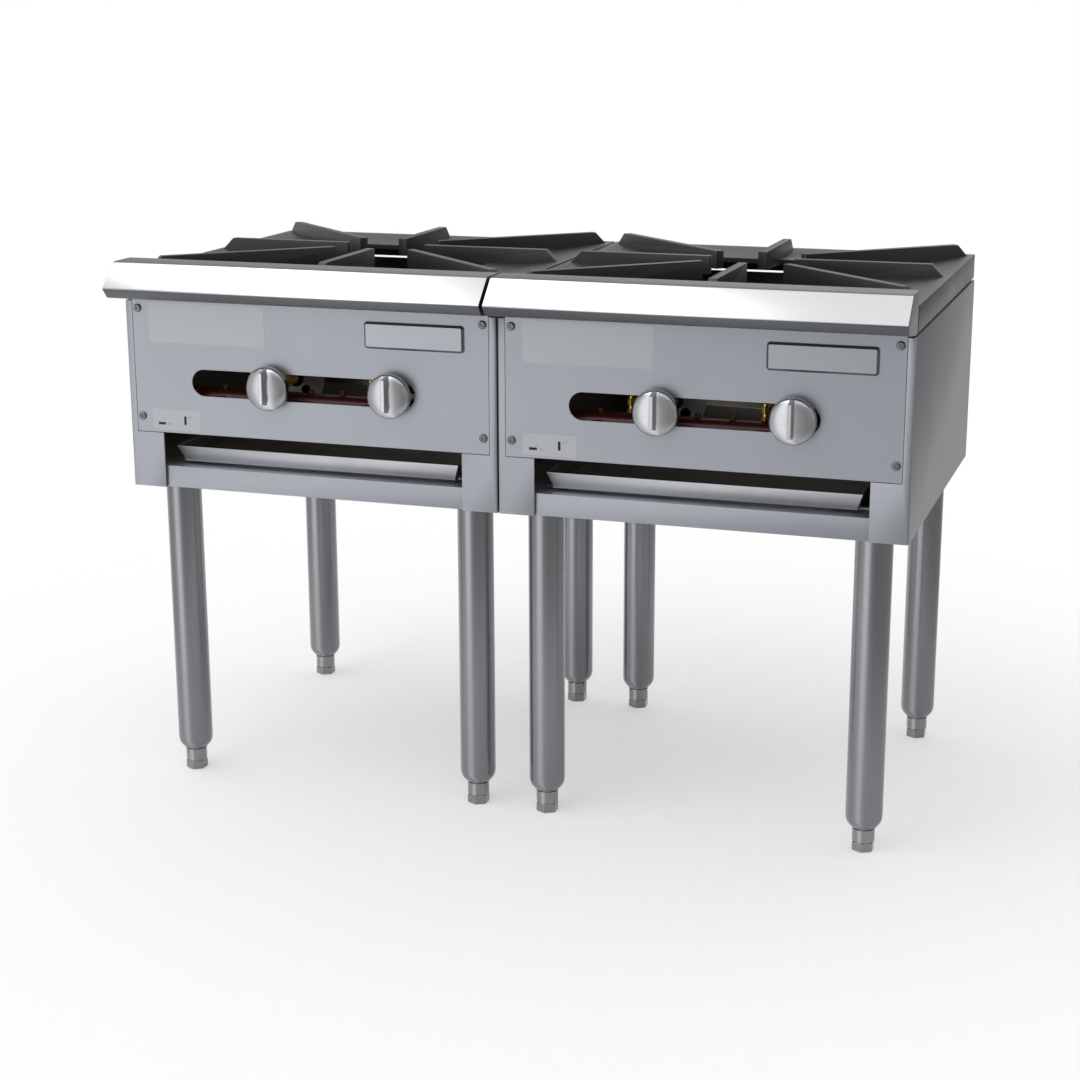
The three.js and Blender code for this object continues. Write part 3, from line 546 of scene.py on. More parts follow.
def film(name, color, roughness, cloud=0.1, metallic=0.0):
    material, tree, shader = principled(name, metallic)
    surface = skin(tree, CLOUDED_FILM, color, {"Roughness": roughness, "Cloud": cloud})
    wear_skin(tree, shader, surface, 0.03, 0.0001)
    return material


PLATE_X = 0.1314
PLATE_Z = 0.5584
PLATE_WIDTH = 0.1188
PLATE_HEIGHT = 0.0304
PLATE_BACK = 0.0003  # control panel to the back of the plate
PLATE_FRONT = 0.0033  # and to its face
PLATE_CORNER = 0.0040
PLATE_BEVEL = 0.0026
PLATE_FACE = brushed("plate_face", (0.400, 0.415, 0.450), 0.36, grain=(40, 900, 900), lines=0.06, marks=0.06)
# The bevel's darker colour is painted shade around the plate.
PLATE_BEVEL_PAINTED_SHADE = brushed("plate_bevel_painted_shade", (0.210, 0.216, 0.230), 0.25, grain=(40, 900, 900), lines=0.05, marks=0.10)

nameplate = block(
    "left_bare_nameplate",
    (LEFT_X + PLATE_X - PLATE_WIDTH / 2, FRONT_Y - PLATE_FRONT, PLATE_Z - PLATE_HEIGHT / 2),
    (LEFT_X + PLATE_X + PLATE_WIDTH / 2, FRONT_Y - PLATE_BACK, PLATE_Z + PLATE_HEIGHT / 2),
)
fold_edges(nameplate, lambda a, b: abs(a.y - b.y) > 0.001, PLATE_CORNER, segments=6)
bpy.ops.object.mode_set(mode="EDIT")
pick_faces(nameplate, lambda middle, normal: normal.y < -0.9)
bpy.ops.mesh.bevel(offset=PLATE_BEVEL, offset_type="OFFSET", segments=1, affect="EDGES", clamp_overlap=True)
bpy.ops.object.mode_set(mode="OBJECT")
work_on(nameplate)
bpy.ops.object.shade_smooth_by_angle(angle=math.radians(28))
on_both_ranges(
    nameplate, PLATE_BEVEL_PAINTED_SHADE, "nameplate", node="nameplate",
    parts=[(PLATE_FACE, lambda middle, normal: normal.y < -0.99)],
)


# ---- Labels on the control panel ----
# A thin bare label of satin film stands at the panel's upper left. A smaller pale one at the lower left
# shows the two positions of a knob with a printed bar each: across for on, upright for off.

LABEL_FILM = 0.00012
LABEL_GLUE = 0.00001
PRINT = 0.00006
LETTER_SIZE = 0.0034
LETTER_PRINT = 0.00003
# Left, right, lower and upper edge of each label and bar, from the middle of the range and the floor.
UPPER_LABEL = (-0.1990, -0.0515, 0.5370, 0.5835)
LEGEND_LABEL = (-0.1990, -0.1370, 0.4343, 0.4585)
OFF_BAR = (-0.1583, -0.1553, 0.4413, 0.4514)
ON_BAR = (-0.1918, -0.1825, 0.4401, 0.4430)
LEGEND_WORDS = (("OFF", -0.1532, 0.4492), ("ON", -0.1796, 0.4402))

SATIN_FILM = film("satin_film", (0.430, 0.445, 0.470), 0.42, cloud=0.04, metallic=0.9)
LEGEND_FILM = film("legend_film", (0.460, 0.474, 0.500), 0.45, cloud=0.05, metallic=0.8)
PRINT_BLACK = film("print_black", (0.008, 0.008, 0.009), 0.6)
PRINT_GREY = film("print_grey", (0.23, 0.235, 0.25), 0.5)


def label(name, span, lift=0.0, film_thickness=LABEL_FILM, corner=0.001):
    x0, x1, z0, z1 = span
    piece = block(
        name,
        (LEFT_X + x0, FRONT_Y - lift - film_thickness, z0),
        (LEFT_X + x1, FRONT_Y - lift - LABEL_GLUE, z1),
    )
    fold_edges(piece, lambda a, b: abs(a.y - b.y) > film_thickness / 2, corner, segments=3)
    return piece


on_both_ranges(label("left_upper_label", UPPER_LABEL), SATIN_FILM, "nameplate")
on_both_ranges(label("left_legend_label", LEGEND_LABEL), LEGEND_FILM, "nameplate")
for name, span in (("left_legend_off_bar", OFF_BAR), ("left_legend_on_bar", ON_BAR)):
    bar = label(name, span, lift=LABEL_FILM, film_thickness=PRINT, corner=0.0006)
    on_both_ranges(bar, PRINT_BLACK, "nameplate")
for word, x, z in LEGEND_WORDS:
    pick_nothing()
    bpy.ops.object.text_add(
        rotation=(math.pi / 2, 0, 0), location=(LEFT_X + x, FRONT_Y - LABEL_FILM - LETTER_PRINT, z)
    )
    lettering = bpy.context.object
    lettering.name = f"left_legend_{word.lower()}_word"
    lettering.data.body = word
    lettering.data.size = LETTER_SIZE
    lettering.data.extrude = LETTER_PRINT
    bpy.ops.object.convert(target="MESH")
    bpy.ops.object.transform_apply(location=True, rotation=True, scale=True)
    on_both_ranges(lettering, PRINT_GREY, "nameplate")


# ---- Bull-nose rails ----
# Along the front of each range runs a polished stainless bull-nose, folded from one sheet, with a plate
# welded in each end and ground smooth. It lies on the flange of the control panel.

RAIL_POLISH = brushed("rail_polish", (0.70, 0.71, 0.725), 0.28, grain=(5, 700, 700), lines=0.04, marks=0.04)
# Every face of the rail but its polished front is painted darker: painted shade on its top, underside and
# ends.
RAIL_PAINTED_SHADE = brushed("rail_mill_finish", (0.180, 0.186, 0.198), 0.45, grain=(5, 700, 700), lines=0.08)
RAIL_TOP = 0.6320
RAIL_HEEL = -0.0420  # front edge of the underside, from the control panel
RAIL_FOLD = 0.0022
RAIL_EDGE = 0.0004


def along_nose(a, b):
    """The long folds on the outside of the bull-nose: front of its top, its nose and its heel."""
    along = abs(a.x - b.x) > 0.3 and abs(a.y - b.y) < 1e-5
    outside = a.y < FRONT_Y + 0.001 and a.z > PANEL_TOP + 0.0005
    return along and outside and (a.z > RAIL_TOP - 0.0005 or a.y < FRONT_Y + RAIL_HEEL + 0.0005)


for unit in ("left", "right"):
    rail = folded_from(f"{unit}_front_rail", f"{unit}_bull_nose_rail")
    fold_edges(rail, along_nose, RAIL_FOLD)
    round_edges(rail, RAIL_EDGE)
    # The polished front keeps the bright steel, and all other faces get the painted shade.
    dress(rail, RAIL_PAINTED_SHADE, (RAIL_POLISH, lambda middle, normal: normal.y < -0.45 and normal.z > 0.2))
    finish(rail, "cabinets", "bright_stainless", f"{unit}_front_rail")


# ---- Top grates ----
# The whole top of each range is one dark iron casting: a skirted deck, dished towards a square opening,
# with eight deep ribs that reach inwards and carry the pot. Its edges are soft from the sand mould.

def cast_skin_group():
    """As-cast iron: fine sand texture, shallow pits, and patches where oil and heat have darkened it."""
    tree, given, made = group(
        "cast_skin",
        [("Place", None), ("Color", (0.1, 0.1, 0.1, 1.0)), ("Roughness", 0.5), ("Grain", 700.0),
         ("Patches", 0.3)],
        [("Color", "Color"), ("Roughness", "Float"), ("Height", "Float")],
    )
    sand = tree.nodes.new("ShaderNodeTexNoise")
    sand.inputs["Detail"].default_value = 3.0
    tree.links.new(given["Place"], sand.inputs["Vector"])
    tree.links.new(given["Grain"], sand.inputs["Scale"])
    pits = tree.nodes.new("ShaderNodeTexVoronoi")
    pits.feature = "SMOOTH_F1"
    tree.links.new(given["Place"], pits.inputs["Vector"])
    tree.links.new(math_node(tree, "MULTIPLY", given["Grain"], 0.35), pits.inputs["Scale"])
    patches = noise(tree, given["Place"], 9.0, detail=4.0, roughness=0.6)
    part = math_node(tree, "MULTIPLY", math_node(tree, "SUBTRACT", patches, 0.5), given["Patches"])
    fine = math_node(tree, "MULTIPLY", math_node(tree, "SUBTRACT", sand.outputs["Fac"], 0.5), 0.22)
    shade = math_node(tree, "ADD", math_node(tree, "ADD", part, fine), 1.0)
    tree.links.new(tinted(tree, given["Color"], shade), made["Color"])
    rough = math_node(tree, "SUBTRACT", given["Roughness"], math_node(tree, "MULTIPLY", part, 0.5))
    tree.links.new(math_node(tree, "ADD", rough, fine), made["Roughness"])
    pit_part = math_node(tree, "MULTIPLY", pits.outputs["Distance"], 0.5)
    tree.links.new(math_node(tree, "ADD", sand.outputs["Fac"], pit_part), made["Height"])
    return tree


CAST_SKIN = cast_skin_group()


def cast(name, color, roughness, grain=700.0, patches=0.3, metallic=0.3, depth=0.35):
    material, tree, shader = principled(name, metallic)
    iron = skin(tree, CAST_SKIN, color, {"Roughness": roughness, "Grain": grain, "Patches": patches})
    wear_skin(tree, shader, iron, depth, 0.0003)
    return material


GRATE_IRON = cast("grate_iron", (0.027, 0.028, 0.030), 0.42, metallic=0.0)
GRATE_EDGE = 0.0012
for unit in ("left", "right"):
    grate = folded_from(f"{unit}_top_grate", f"{unit}_cast_grate")
    round_edges(grate, GRATE_EDGE, sharper_than=25)
    dress(grate, GRATE_IRON)
    finish(grate, f"{unit}_grate", "cast_iron", f"{unit}_top_grate")


# ---- Drip trays ----
# Below the burners a folded steel tray slides on two runners. Its walls flare outwards at the top, with
# mitred corners, and the front flare is what a hand pulls it out by.

TRAY_SHEET = brushed("tray_sheet", (0.53, 0.54, 0.56), 0.36, grain=(9, 900, 900), lines=0.14, marks=0.16)
TRAY_FLOOR = 0.3953
TRAY_RIM = 0.4129
TRAY_EDGE = 0.0004


def inside_tray(tray_x):
    """Tells the pan's inner faces, which carry painted shade, from its clean outside."""
    def test(middle, normal):
        inwards = Vector((tray_x, 0, middle.z)) - middle
        facing_in = middle.z > TRAY_FLOOR and normal.z > 0.1 and inwards.dot(normal) > 0
        return middle.z < TRAY_RIM - TRAY_EDGE and (normal.z > 0.9 or facing_in)
    return test


for unit, unit_x in UNITS:
    tray = folded_from(f"{unit}_drip_tray", f"{unit}_pull_out_tray")
    round_edges(tray, TRAY_EDGE)
    # The pan's inner faces get the painted shade of the cabinet's inside.
    dress(tray, TRAY_SHEET, (INSIDE_PAINTED_SHADE, inside_tray(unit_x)))
    finish(tray, f"{unit}_tray", "tray_steel", f"{unit}_drip_tray")


# ---- Legs ----
# Each leg is a stainless tube, swaged in to a neck at its foot and welded to a plate at its top. Four
# bolts hold the plate to the gussets of the cabinet.

LEG_X = 0.1857  # from the middle of the range
LEG_FRONT_Y = FRONT_Y + 0.0422
LEG_REAR_Y = FRONT_Y + 0.4286
LEG_PLATE_TOP = 0.3707
LEG_PLATE_BOTTOM = 0.3667
LEG_PLATE_OUT = 0.0255  # leg's axis to the outer edges of its plate
LEG_PLATE_IN = 0.0445  # and to the inner ones
LEG_PLATE_CORNER = 0.0050
BOLT_PLACES = (-0.0195, 0.0385)  # from the leg's axis, outwards and inwards


def turned(name, rings, axis, centre, sides=64, closed=False):
    """A turned piece: rings of (radius, distance along the axis), drawn out from the first to the last.
    An open one is capped at both ends, a closed one has its last ring joined to its first."""
    way = Vector((axis == "x", axis == "y", axis == "z"))
    lean = {"x": (0, math.pi / 2, 0), "y": (math.pi / 2, 0, 0), "z": (0, 0, 0)}[axis]
    pick_nothing()
    bpy.ops.mesh.primitive_circle_add(
        vertices=sides, radius=rings[0][0], rotation=lean,
        location=Vector(centre) + way * rings[0][1], fill_type="NOTHING" if closed else "NGON",
    )
    piece = bpy.context.object
    piece.name = name
    bpy.ops.object.transform_apply(location=True, rotation=True, scale=True)
    bpy.ops.object.mode_set(mode="EDIT")
    bpy.ops.mesh.select_all(action="SELECT")
    for (radius, place), (next_radius, next_place) in zip(rings, rings[1:]):
        step = way * (next_place - place)
        if closed:
            bpy.ops.mesh.extrude_edges_move(TRANSFORM_OT_translate={"value": step})
        else:
            bpy.ops.mesh.extrude_region_move(TRANSFORM_OT_translate={"value": step})
        bpy.ops.transform.resize(value=tuple(1 if along else next_radius / radius for along in way))
    if closed:
        bpy.ops.mesh.select_mode(type="EDGE")
        bpy.ops.mesh.select_all(action="DESELECT")
        bpy.ops.mesh.select_non_manifold()
        bpy.ops.mesh.bridge_edge_loops()
    bpy.ops.mesh.select_all(action="SELECT")
    bpy.ops.mesh.normals_make_consistent(inside=False)
    bpy.ops.object.mode_set(mode="OBJECT")
    bpy.ops.object.shade_smooth_by_angle(angle=math.radians(30))
    return piece


def hexagon(name, radius, low, high, axis, centre, edge):
    """A hexagonal head, nut or plug with its corners chamfered at both ends."""
    piece = turned(name, [(radius, low), (radius, high)], axis, centre, sides=6)
    round_edges(piece, edge)
    return piece


def joined(name, *pieces):
    pick_nothing()
    for piece in pieces:
        piece.select_set(True)
    bpy.context.view_layer.objects.active = pieces[0]
    bpy.ops.object.join()
    pieces[0].name = name
    return pieces[0]


LEG_STEEL = brushed(
    "leg_steel", (0.325, 0.332, 0.348), 0.25, grain=(260, 260, 6), lines=0.03, marks=0.04, depth=0.015
)
LEG_RINGS = [
    (0.0191, 0.3675), (0.0191, 0.0412), (0.0170, 0.0345), (0.0142, 0.0305), (0.0131, 0.0298),
    (0.0131, 0.0288), (0.0134, 0.0285), (0.0146, 0.0285), (0.0150, 0.0289), (0.0152, 0.0295),
    (0.0159, 0.0302), (0.0177, 0.0322), (0.0193, 0.0350), (0.0203, 0.0382), (0.02065, 0.0415),
    (0.02065, 0.3675),
]
for end, leg_y, inward_y in (("front", LEG_FRONT_Y, 1), ("rear", LEG_REAR_Y, -1)):
    for hand, leg_x, inward_x in (("left", LEFT_X - LEG_X, 1), ("right", LEFT_X + LEG_X, -1)):
        tube = turned("tube", LEG_RINGS, "z", (leg_x, leg_y, 0), closed=True)
        reach_x = sorted((leg_x - LEG_PLATE_OUT * inward_x, leg_x + LEG_PLATE_IN * inward_x))
        reach_y = sorted((leg_y - LEG_PLATE_OUT * inward_y, leg_y + LEG_PLATE_IN * inward_y))
        plate = block(
            "plate", (reach_x[0], reach_y[0], LEG_PLATE_BOTTOM), (reach_x[1], reach_y[1], LEG_PLATE_TOP)
        )
        fold_edges(plate, lambda a, b: abs(a.z - b.z) > 0.002, LEG_PLATE_CORNER)
        round_edges(plate, 0.0005)
        weld = turned("weld", [(0.0206, 0.3650), (0.0222, 0.3660), (0.0232, 0.3669)], "z", (leg_x, leg_y, 0))
        bolts = []
        for out_x in BOLT_PLACES:
            for out_y in BOLT_PLACES:
                place = (leg_x + out_x * inward_x, leg_y + out_y * inward_y, 0)
                bolts.append(hexagon("bolt", 0.0058, 0.3624, 0.3668, "z", place, 0.0005))
                bolts.append(turned("washer", [(0.0068, 0.3659), (0.0070, 0.3667)], "z", place, sides=28))
        leg = joined(f"left_{end}_{hand}_tube_leg", tube, plate, weld, *bolts)
        on_both_ranges(leg, LEG_STEEL, "leg_tube", f"{end}_{hand}_leg")


# ---- Levelling feet ----
# A plated hexagonal foot screws up into the neck of each leg. A plain shank shows above the hexagon, and
# the thread above it is inside the leg until the foot is screwed out.

FOOT_STEEL = brushed(
    "foot_steel", (0.40, 0.405, 0.412), 0.15, grain=(300, 300, 20), lines=0.08, marks=0.12, depth=0.02
)
FOOT_HEX = 0.0132  # over the corners
FOOT_HEX_TOP = 0.0100
FOOT_THREAD_START = 0.0285
FOOT_THREAD_PITCH = 0.0020
FOOT_ROOT = 0.0115
FOOT_CREST = 0.0126
FOOT_RINGS = [
    (0.0112, 0.0095), (0.0112, 0.0108), (0.0121, 0.0113), (0.0127, 0.0120), (0.0127, 0.0262),
    (FOOT_ROOT, 0.0270),
]
for ridge in range(28):
    start = FOOT_THREAD_START + ridge * FOOT_THREAD_PITCH
    FOOT_RINGS += [(FOOT_ROOT, start), (FOOT_CREST, start + 0.0008)]
    FOOT_RINGS += [(FOOT_CREST, start + 0.0011), (FOOT_ROOT, start + 0.0019)]
for end, foot_y in (("front", LEG_FRONT_Y), ("rear", LEG_REAR_Y)):
    for hand, foot_x in (("left", LEFT_X - LEG_X), ("right", LEFT_X + LEG_X)):
        pad = hexagon("pad", FOOT_HEX, 0.0, FOOT_HEX_TOP, "z", (foot_x, foot_y, 0), 0.0009)
        shank = turned("shank", FOOT_RINGS, "z", (foot_x, foot_y, 0), sides=48)
        foot = joined(f"left_{end}_{hand}_levelling_foot", pad, shank)
        on_both_ranges(
            foot, FOOT_STEEL, "foot_steel", f"{end}_{hand}_foot", body=f"{{unit}}_{end}_{hand}_foot"
        )


# ---- Gas manifolds ----
# A length of iron pipe runs along the front, behind the slot, with a hexagonal plug in its left end and
# an elbow at its right. Two straps hold it to the control panel.

MANIFOLD_Y = FRONT_Y + 0.030
MANIFOLD_Z = 0.46865
MANIFOLD_LEFT = LEFT_X - 0.150
MANIFOLD_LENGTH = 0.315
INLET_X = MANIFOLD_LEFT + MANIFOLD_LENGTH
PIPE = 0.01335
STRAP_WIDTH = 0.012
STRAPS_X = (-0.124, 0.060)  # left edges, from the middle of the range
GAS_PIPE = cast("gas_pipe", (0.062, 0.010, 0.008), 0.30, grain=450.0, patches=0.5, metallic=0.2, depth=0.12)

pipe = turned("pipe", [(PIPE, 0), (PIPE, MANIFOLD_LENGTH)], "x", (MANIFOLD_LEFT, MANIFOLD_Y, MANIFOLD_Z))
plug = hexagon("plug", 0.016, -0.012, 0.0, "x", (MANIFOLD_LEFT, MANIFOLD_Y, MANIFOLD_Z), 0.001)
elbow_side = turned(
    "elbow_side",
    [(0.0168, -0.018), (0.018, -0.0172), (0.018, -0.0125), (0.0168, -0.0115), (0.0162, 0.0)],
    "x",
    (INLET_X, MANIFOLD_Y, MANIFOLD_Z),
)
elbow_mouth = turned(
    "elbow_mouth",
    [(0.0162, 0.0), (0.0166, 0.0140), (0.0179, 0.0152), (0.0179, 0.0252), (0.0170, 0.0259)],
    "y",
    (INLET_X, MANIFOLD_Y, MANIFOLD_Z),
)
pick_nothing()
bpy.ops.mesh.primitive_uv_sphere_add(
    segments=48, ring_count=24, radius=0.0170, location=(INLET_X, MANIFOLD_Y, MANIFOLD_Z)
)
bend = bpy.context.object
bpy.ops.object.transform_apply(location=True, rotation=True, scale=True)
bpy.ops.object.shade_smooth()
straps = []
for strap_x in STRAPS_X:
    strap = block(
        "strap",
        (LEFT_X + strap_x, FRONT_Y + 0.0018, MANIFOLD_Z - 0.006),
        (LEFT_X + strap_x + STRAP_WIDTH, MANIFOLD_Y, MANIFOLD_Z + 0.006),
    )
    round_edges(strap, 0.0006)
    straps.append(strap)
manifold = joined("left_manifold_pipe", pipe, plug, elbow_side, elbow_mouth, bend, *straps)
on_both_ranges(manifold, GAS_PIPE, "gas_pipe", "gas_manifold")

# Small bronze plugs close the taps along its top.
PLUG_BRONZE = cast(
    "plug_bronze", (0.135, 0.066, 0.022), 0.40, grain=900.0, patches=0.5, metallic=0.8, depth=0.15
)
for i, plug_x in enumerate((-0.1185, -0.0088, 0.0300)):
    place = (LEFT_X + plug_x, MANIFOLD_Y, MANIFOLD_Z + PIPE)
    tap_plug = hexagon(f"left_tap_plug_{i + 1}", 0.0038, -0.0010, 0.0042, "z", place, 0.0004)
    on_both_ranges(tap_plug, PLUG_BRONZE, "brass")


# ---- Gas inlet pipes ----
# From the elbow a plain pipe runs back through the rear panel, and ends in a cut thread that the supply
# hose screws onto.

INLET_PIPE = cast(
    "inlet_pipe", (0.115, 0.035, 0.026), 0.46, grain=500.0, patches=0.4, metallic=0.3, depth=0.2
)
BORE = 0.01045
THREAD_START = 0.4700  # from the control panel back
THREAD_PITCH = 0.0019
THREAD_ROOT = 0.0126
inlet_rings = [(BORE, 0.4879), (BORE, 0.0450), (0.0128, 0.0445), (PIPE, 0.0455), (PIPE, 0.4695)]
for ridge in range(9):
    start = THREAD_START + ridge * THREAD_PITCH
    inlet_rings += [(THREAD_ROOT, start), (PIPE, start + 0.00075), (PIPE, start + 0.0011)]
inlet_rings += [(0.0122, 0.4877), (0.0119, 0.4880)]
inlet = turned("left_inlet_pipe", inlet_rings, "y", (INLET_X, FRONT_Y, MANIFOLD_Z), sides=56, closed=True)
on_both_ranges(inlet, INLET_PIPE, "gas_pipe", "gas_inlet_pipe")


# ---- Burner valves ----
# A brass valve stands on the manifold for each burner. Its hexagonal body is turned down to a neck in
# front for the knob's stem, and to the orifice hood behind.

VALVE_X = {"left": -0.0454, "right": 0.1037}  # from the middle of the range
VALVE_Z = 0.4922
STEM_HOLE = 0.0043
HOOD_NUT = 0.0078  # over the corners
HOOD_NUT_THICKNESS = 0.0068
BRASS = brushed("valve_brass", (0.60, 0.40, 0.085), 0.30, grain=(600, 600, 600), lines=0.22, marks=0.35)
# Radii, each with its distance behind the control panel; the nipple's are with heights over the floor.
NECK_RINGS = [(0.0088, 0.0100), (0.0090, 0.0103), (0.0090, 0.0141)]
HOOD_RINGS = [
    (0.0056, 0.0338), (0.0056, 0.0555), (0.0069, 0.0562), (0.0069, 0.0665), (0.0050, 0.0698), (0.0022, 0.0700)
]
NIPPLE_RINGS = [(0.0056, 0.4823), (0.0060, 0.4827), (0.0060, 0.4880)]

for hand, valve_x in VALVE_X.items():
    centre = (LEFT_X + valve_x, FRONT_Y, VALVE_Z)
    neck = turned("neck", NECK_RINGS, "y", centre, sides=40)
    body = hexagon("body", 0.0098, 0.0140, 0.0340, "y", centre, 0.0009)
    for drilled, hole_end in ((body, 0.0220), (neck, 0.0160)):
        drill = turned("drill", [(STEM_HOLE, 0.0050), (STEM_HOLE, hole_end)], "y", centre, sides=32)
        cut_out(drilled, drill)
    hood = turned("hood", HOOD_RINGS, "y", centre, sides=40)
    nipple = turned("nipple", NIPPLE_RINGS, "z", (centre[0], MANIFOLD_Y, 0), sides=32)
    hood_nuts = [
        hexagon("hood_nut", HOOD_NUT, front, front + HOOD_NUT_THICKNESS, "y", centre, 0.0006)
        for front in (0.0372, 0.0484)
    ]
    valve = joined(f"left_{hand}_brass_valve", body, neck, hood, nipple, *hood_nuts)
    on_both_ranges(valve, BRASS, "brass", f"{hand}_valve")


# ---- Knobs ----
# Each valve is turned by a die-cast knob in satin chrome: a domed cap, spun finish, with an upright grip
# bar across it. It stands a little off the panel on the valve's stem.

KNOB = 0.0254
KNOB_BACK = -0.0060  # these three from the control panel
KNOB_RIM = -0.0120
GRIP_CREST = -0.0285
KNOB_DOME = 0.0085  # height of the dome over the rim
DOME_STEPS = 14
GRIP_WIDTH = 0.0060
GRIP_LOW = -0.0194  # from the knob's axis
GRIP_HIGH = 0.0244
GRIP_EDGE = 0.0009


def spun_chrome():
    """Satin chrome with the fine rings that polishing on a lathe leaves, read from the knob's own map."""
    material, tree, shader = principled("knob_chrome", 1.0)
    shader.inputs["Anisotropic"].default_value = 0.6
    shader.inputs["Anisotropic Rotation"].default_value = 0.25
    uv = tree.nodes.new("ShaderNodeUVMap")
    uv.uv_map = "spun"
    parts = tree.nodes.new("ShaderNodeSeparateXYZ")
    tree.links.new(uv.outputs["UV"], parts.inputs[0])
    round_the_axis = tree.nodes.new("ShaderNodeTangent")
    round_the_axis.direction_type = "UV_MAP"
    round_the_axis.uv_map = "spun"
    tree.links.new(round_the_axis.outputs["Tangent"], shader.inputs["Tangent"])
    rings = tree.nodes.new("ShaderNodeTexNoise")
    rings.noise_dimensions = "1D"
    rings.inputs["Scale"].default_value = 90.0
    rings.inputs["Detail"].default_value = 5.0
    tree.links.new(parts.outputs["Y"], rings.inputs["W"])
    values = {"Roughness": 0.20, "Lines": 0.03, "Marks": 0.05}
    steel = skin(tree, BRUSHED_STEEL, (0.55, 0.558, 0.575), values)
    tree.links.new(object_place(tree, scale=(400, 400, 400)), steel.inputs["Along Grain"])
    tree.links.new(steel.outputs["Color"], shader.inputs["Base Color"])
    rough = math_node(tree, "MULTIPLY", math_node(tree, "SUBTRACT", rings.outputs["Fac"], 0.5), 0.12)
    tree.links.new(math_node(tree, "ADD", steel.outputs["Roughness"], rough), shader.inputs["Roughness"])
    bump(tree, shader, rings.outputs["Fac"], 0.06, 0.0002)
    return material


def map_round_axis(piece, centre):
    """A map whose u is the angle round the knob's axis, in turns, and whose v is the distance from it."""
    spun = piece.data.uv_layers.new(name="spun")
    for face in piece.data.polygons:
        facing = math.atan2(face.center.z - centre[2], face.center.x - centre[0])
        for loop_number in face.loop_indices:
            corner = piece.data.vertices[piece.data.loops[loop_number].vertex_index].co
            across, up = corner.x - centre[0], corner.z - centre[2]
            off = (math.atan2(up, across) - facing + math.pi) % (2 * math.pi) - math.pi
            spun.data[loop_number].uv = ((facing + off) / (2 * math.pi), math.hypot(across, up) / KNOB)


KNOB_CHROME = spun_chrome()
STEM_RINGS = [(0.0040, -0.0100), (0.0040, 0.0196), (0.0036, 0.0200)]
cap_rings = [
    (0.0219, KNOB_BACK), (0.0237, KNOB_BACK), (0.0247, KNOB_BACK - 0.0004), (KNOB, KNOB_BACK - 0.0015)
]
for step in range(DOME_STEPS):
    rise = step * math.pi / 2 / DOME_STEPS
    cap_rings.append((KNOB * math.cos(rise), KNOB_RIM - KNOB_DOME * math.sin(rise)))

for hand, valve_x in VALVE_X.items():
    centre = (LEFT_X + valve_x, FRONT_Y, VALVE_Z)
    cap = turned("cap", cap_rings, "y", centre, sides=96)
    bpy.ops.object.shade_smooth_by_angle(angle=math.radians(40))
    grip = block(
        "grip",
        (centre[0] - GRIP_WIDTH / 2, FRONT_Y + GRIP_CREST, VALVE_Z + GRIP_LOW),
        (centre[0] + GRIP_WIDTH / 2, FRONT_Y + KNOB_RIM, VALVE_Z + GRIP_HIGH),
    )
    bpy.ops.object.mode_set(mode="EDIT")
    pick_faces(grip, lambda middle, normal: normal.y < -0.9)
    bpy.ops.transform.resize(value=(0.80, 1, 0.81))
    bpy.ops.object.mode_set(mode="OBJECT")
    round_edges(grip, GRIP_EDGE, segments=4)
    stem = turned("stem", STEM_RINGS, "y", centre, sides=32)
    knob = joined(f"left_{hand}_chrome_knob", cap, grip, stem)
    map_round_axis(knob, centre)
    on_both_ranges(knob, KNOB_CHROME, "knob_chrome", f"{hand}_knob", body=f"{{unit}}_{hand}_knob")


# ---- Ring burners ----
# Two cast rings, one inside the other, stand on bosses on the burner support. Drilled ports round the
# chamfers let the gas out, and each ring's throat comes from a bell mouth in front of its valve.

POT = 0.2413  # control panel to the axis of the rings
POT_Y = FRONT_Y + POT
OUTER_RING = (0.083, 0.107)  # inner and outer radius
INNER_RING = (0.031, 0.053)
RING_TOP = 0.5580
RING_BOTTOM = 0.5400
RING_CHAMFER = 0.0040
RING_EDGE = 0.0006
RING_SIDES = 96
THROAT_END = 0.548  # inside the ring
MOUTH_Y = 0.0660  # control panel to the bell mouths
OUTER_MOUTH = 0.030
INNER_MOUTH = 0.024
BURNER_IRON = cast(
    "burner_iron", (0.034, 0.034, 0.035), 0.62, grain=600.0, patches=0.6, metallic=0.25, depth=0.4
)


def drilled_ring(name, inside, outside):
    """A ring of the burner, with a port in every second facet of its two upper chamfers."""
    shoulder = RING_TOP - RING_CHAMFER
    rings = [
        (inside + 0.0004, RING_BOTTOM), (outside - 0.0004, RING_BOTTOM), (outside, RING_BOTTOM + RING_EDGE),
        (outside, shoulder), (outside - RING_CHAMFER, RING_TOP), (inside + RING_CHAMFER, RING_TOP),
        (inside, shoulder), (inside, RING_BOTTOM + RING_EDGE),
    ]
    ring = turned(name, rings, "z", (LEFT_X, POT_Y, 0), sides=RING_SIDES, closed=True)

    def has_port(middle, normal):
        facet = math.floor(math.atan2(middle.y - POT_Y, middle.x - LEFT_X) / (2 * math.pi) * RING_SIDES)
        return 0.3 < normal.z < 0.9 and facet % 2 == 0

    bpy.ops.object.mode_set(mode="EDIT")
    pick_faces(ring, has_port)
    bpy.ops.mesh.inset(thickness=0.0007, depth=0.0, use_individual=True)
    bpy.ops.mesh.inset(thickness=0.0002, depth=-0.0018, use_individual=True)
    bpy.ops.object.mode_set(mode="OBJECT")
    return ring


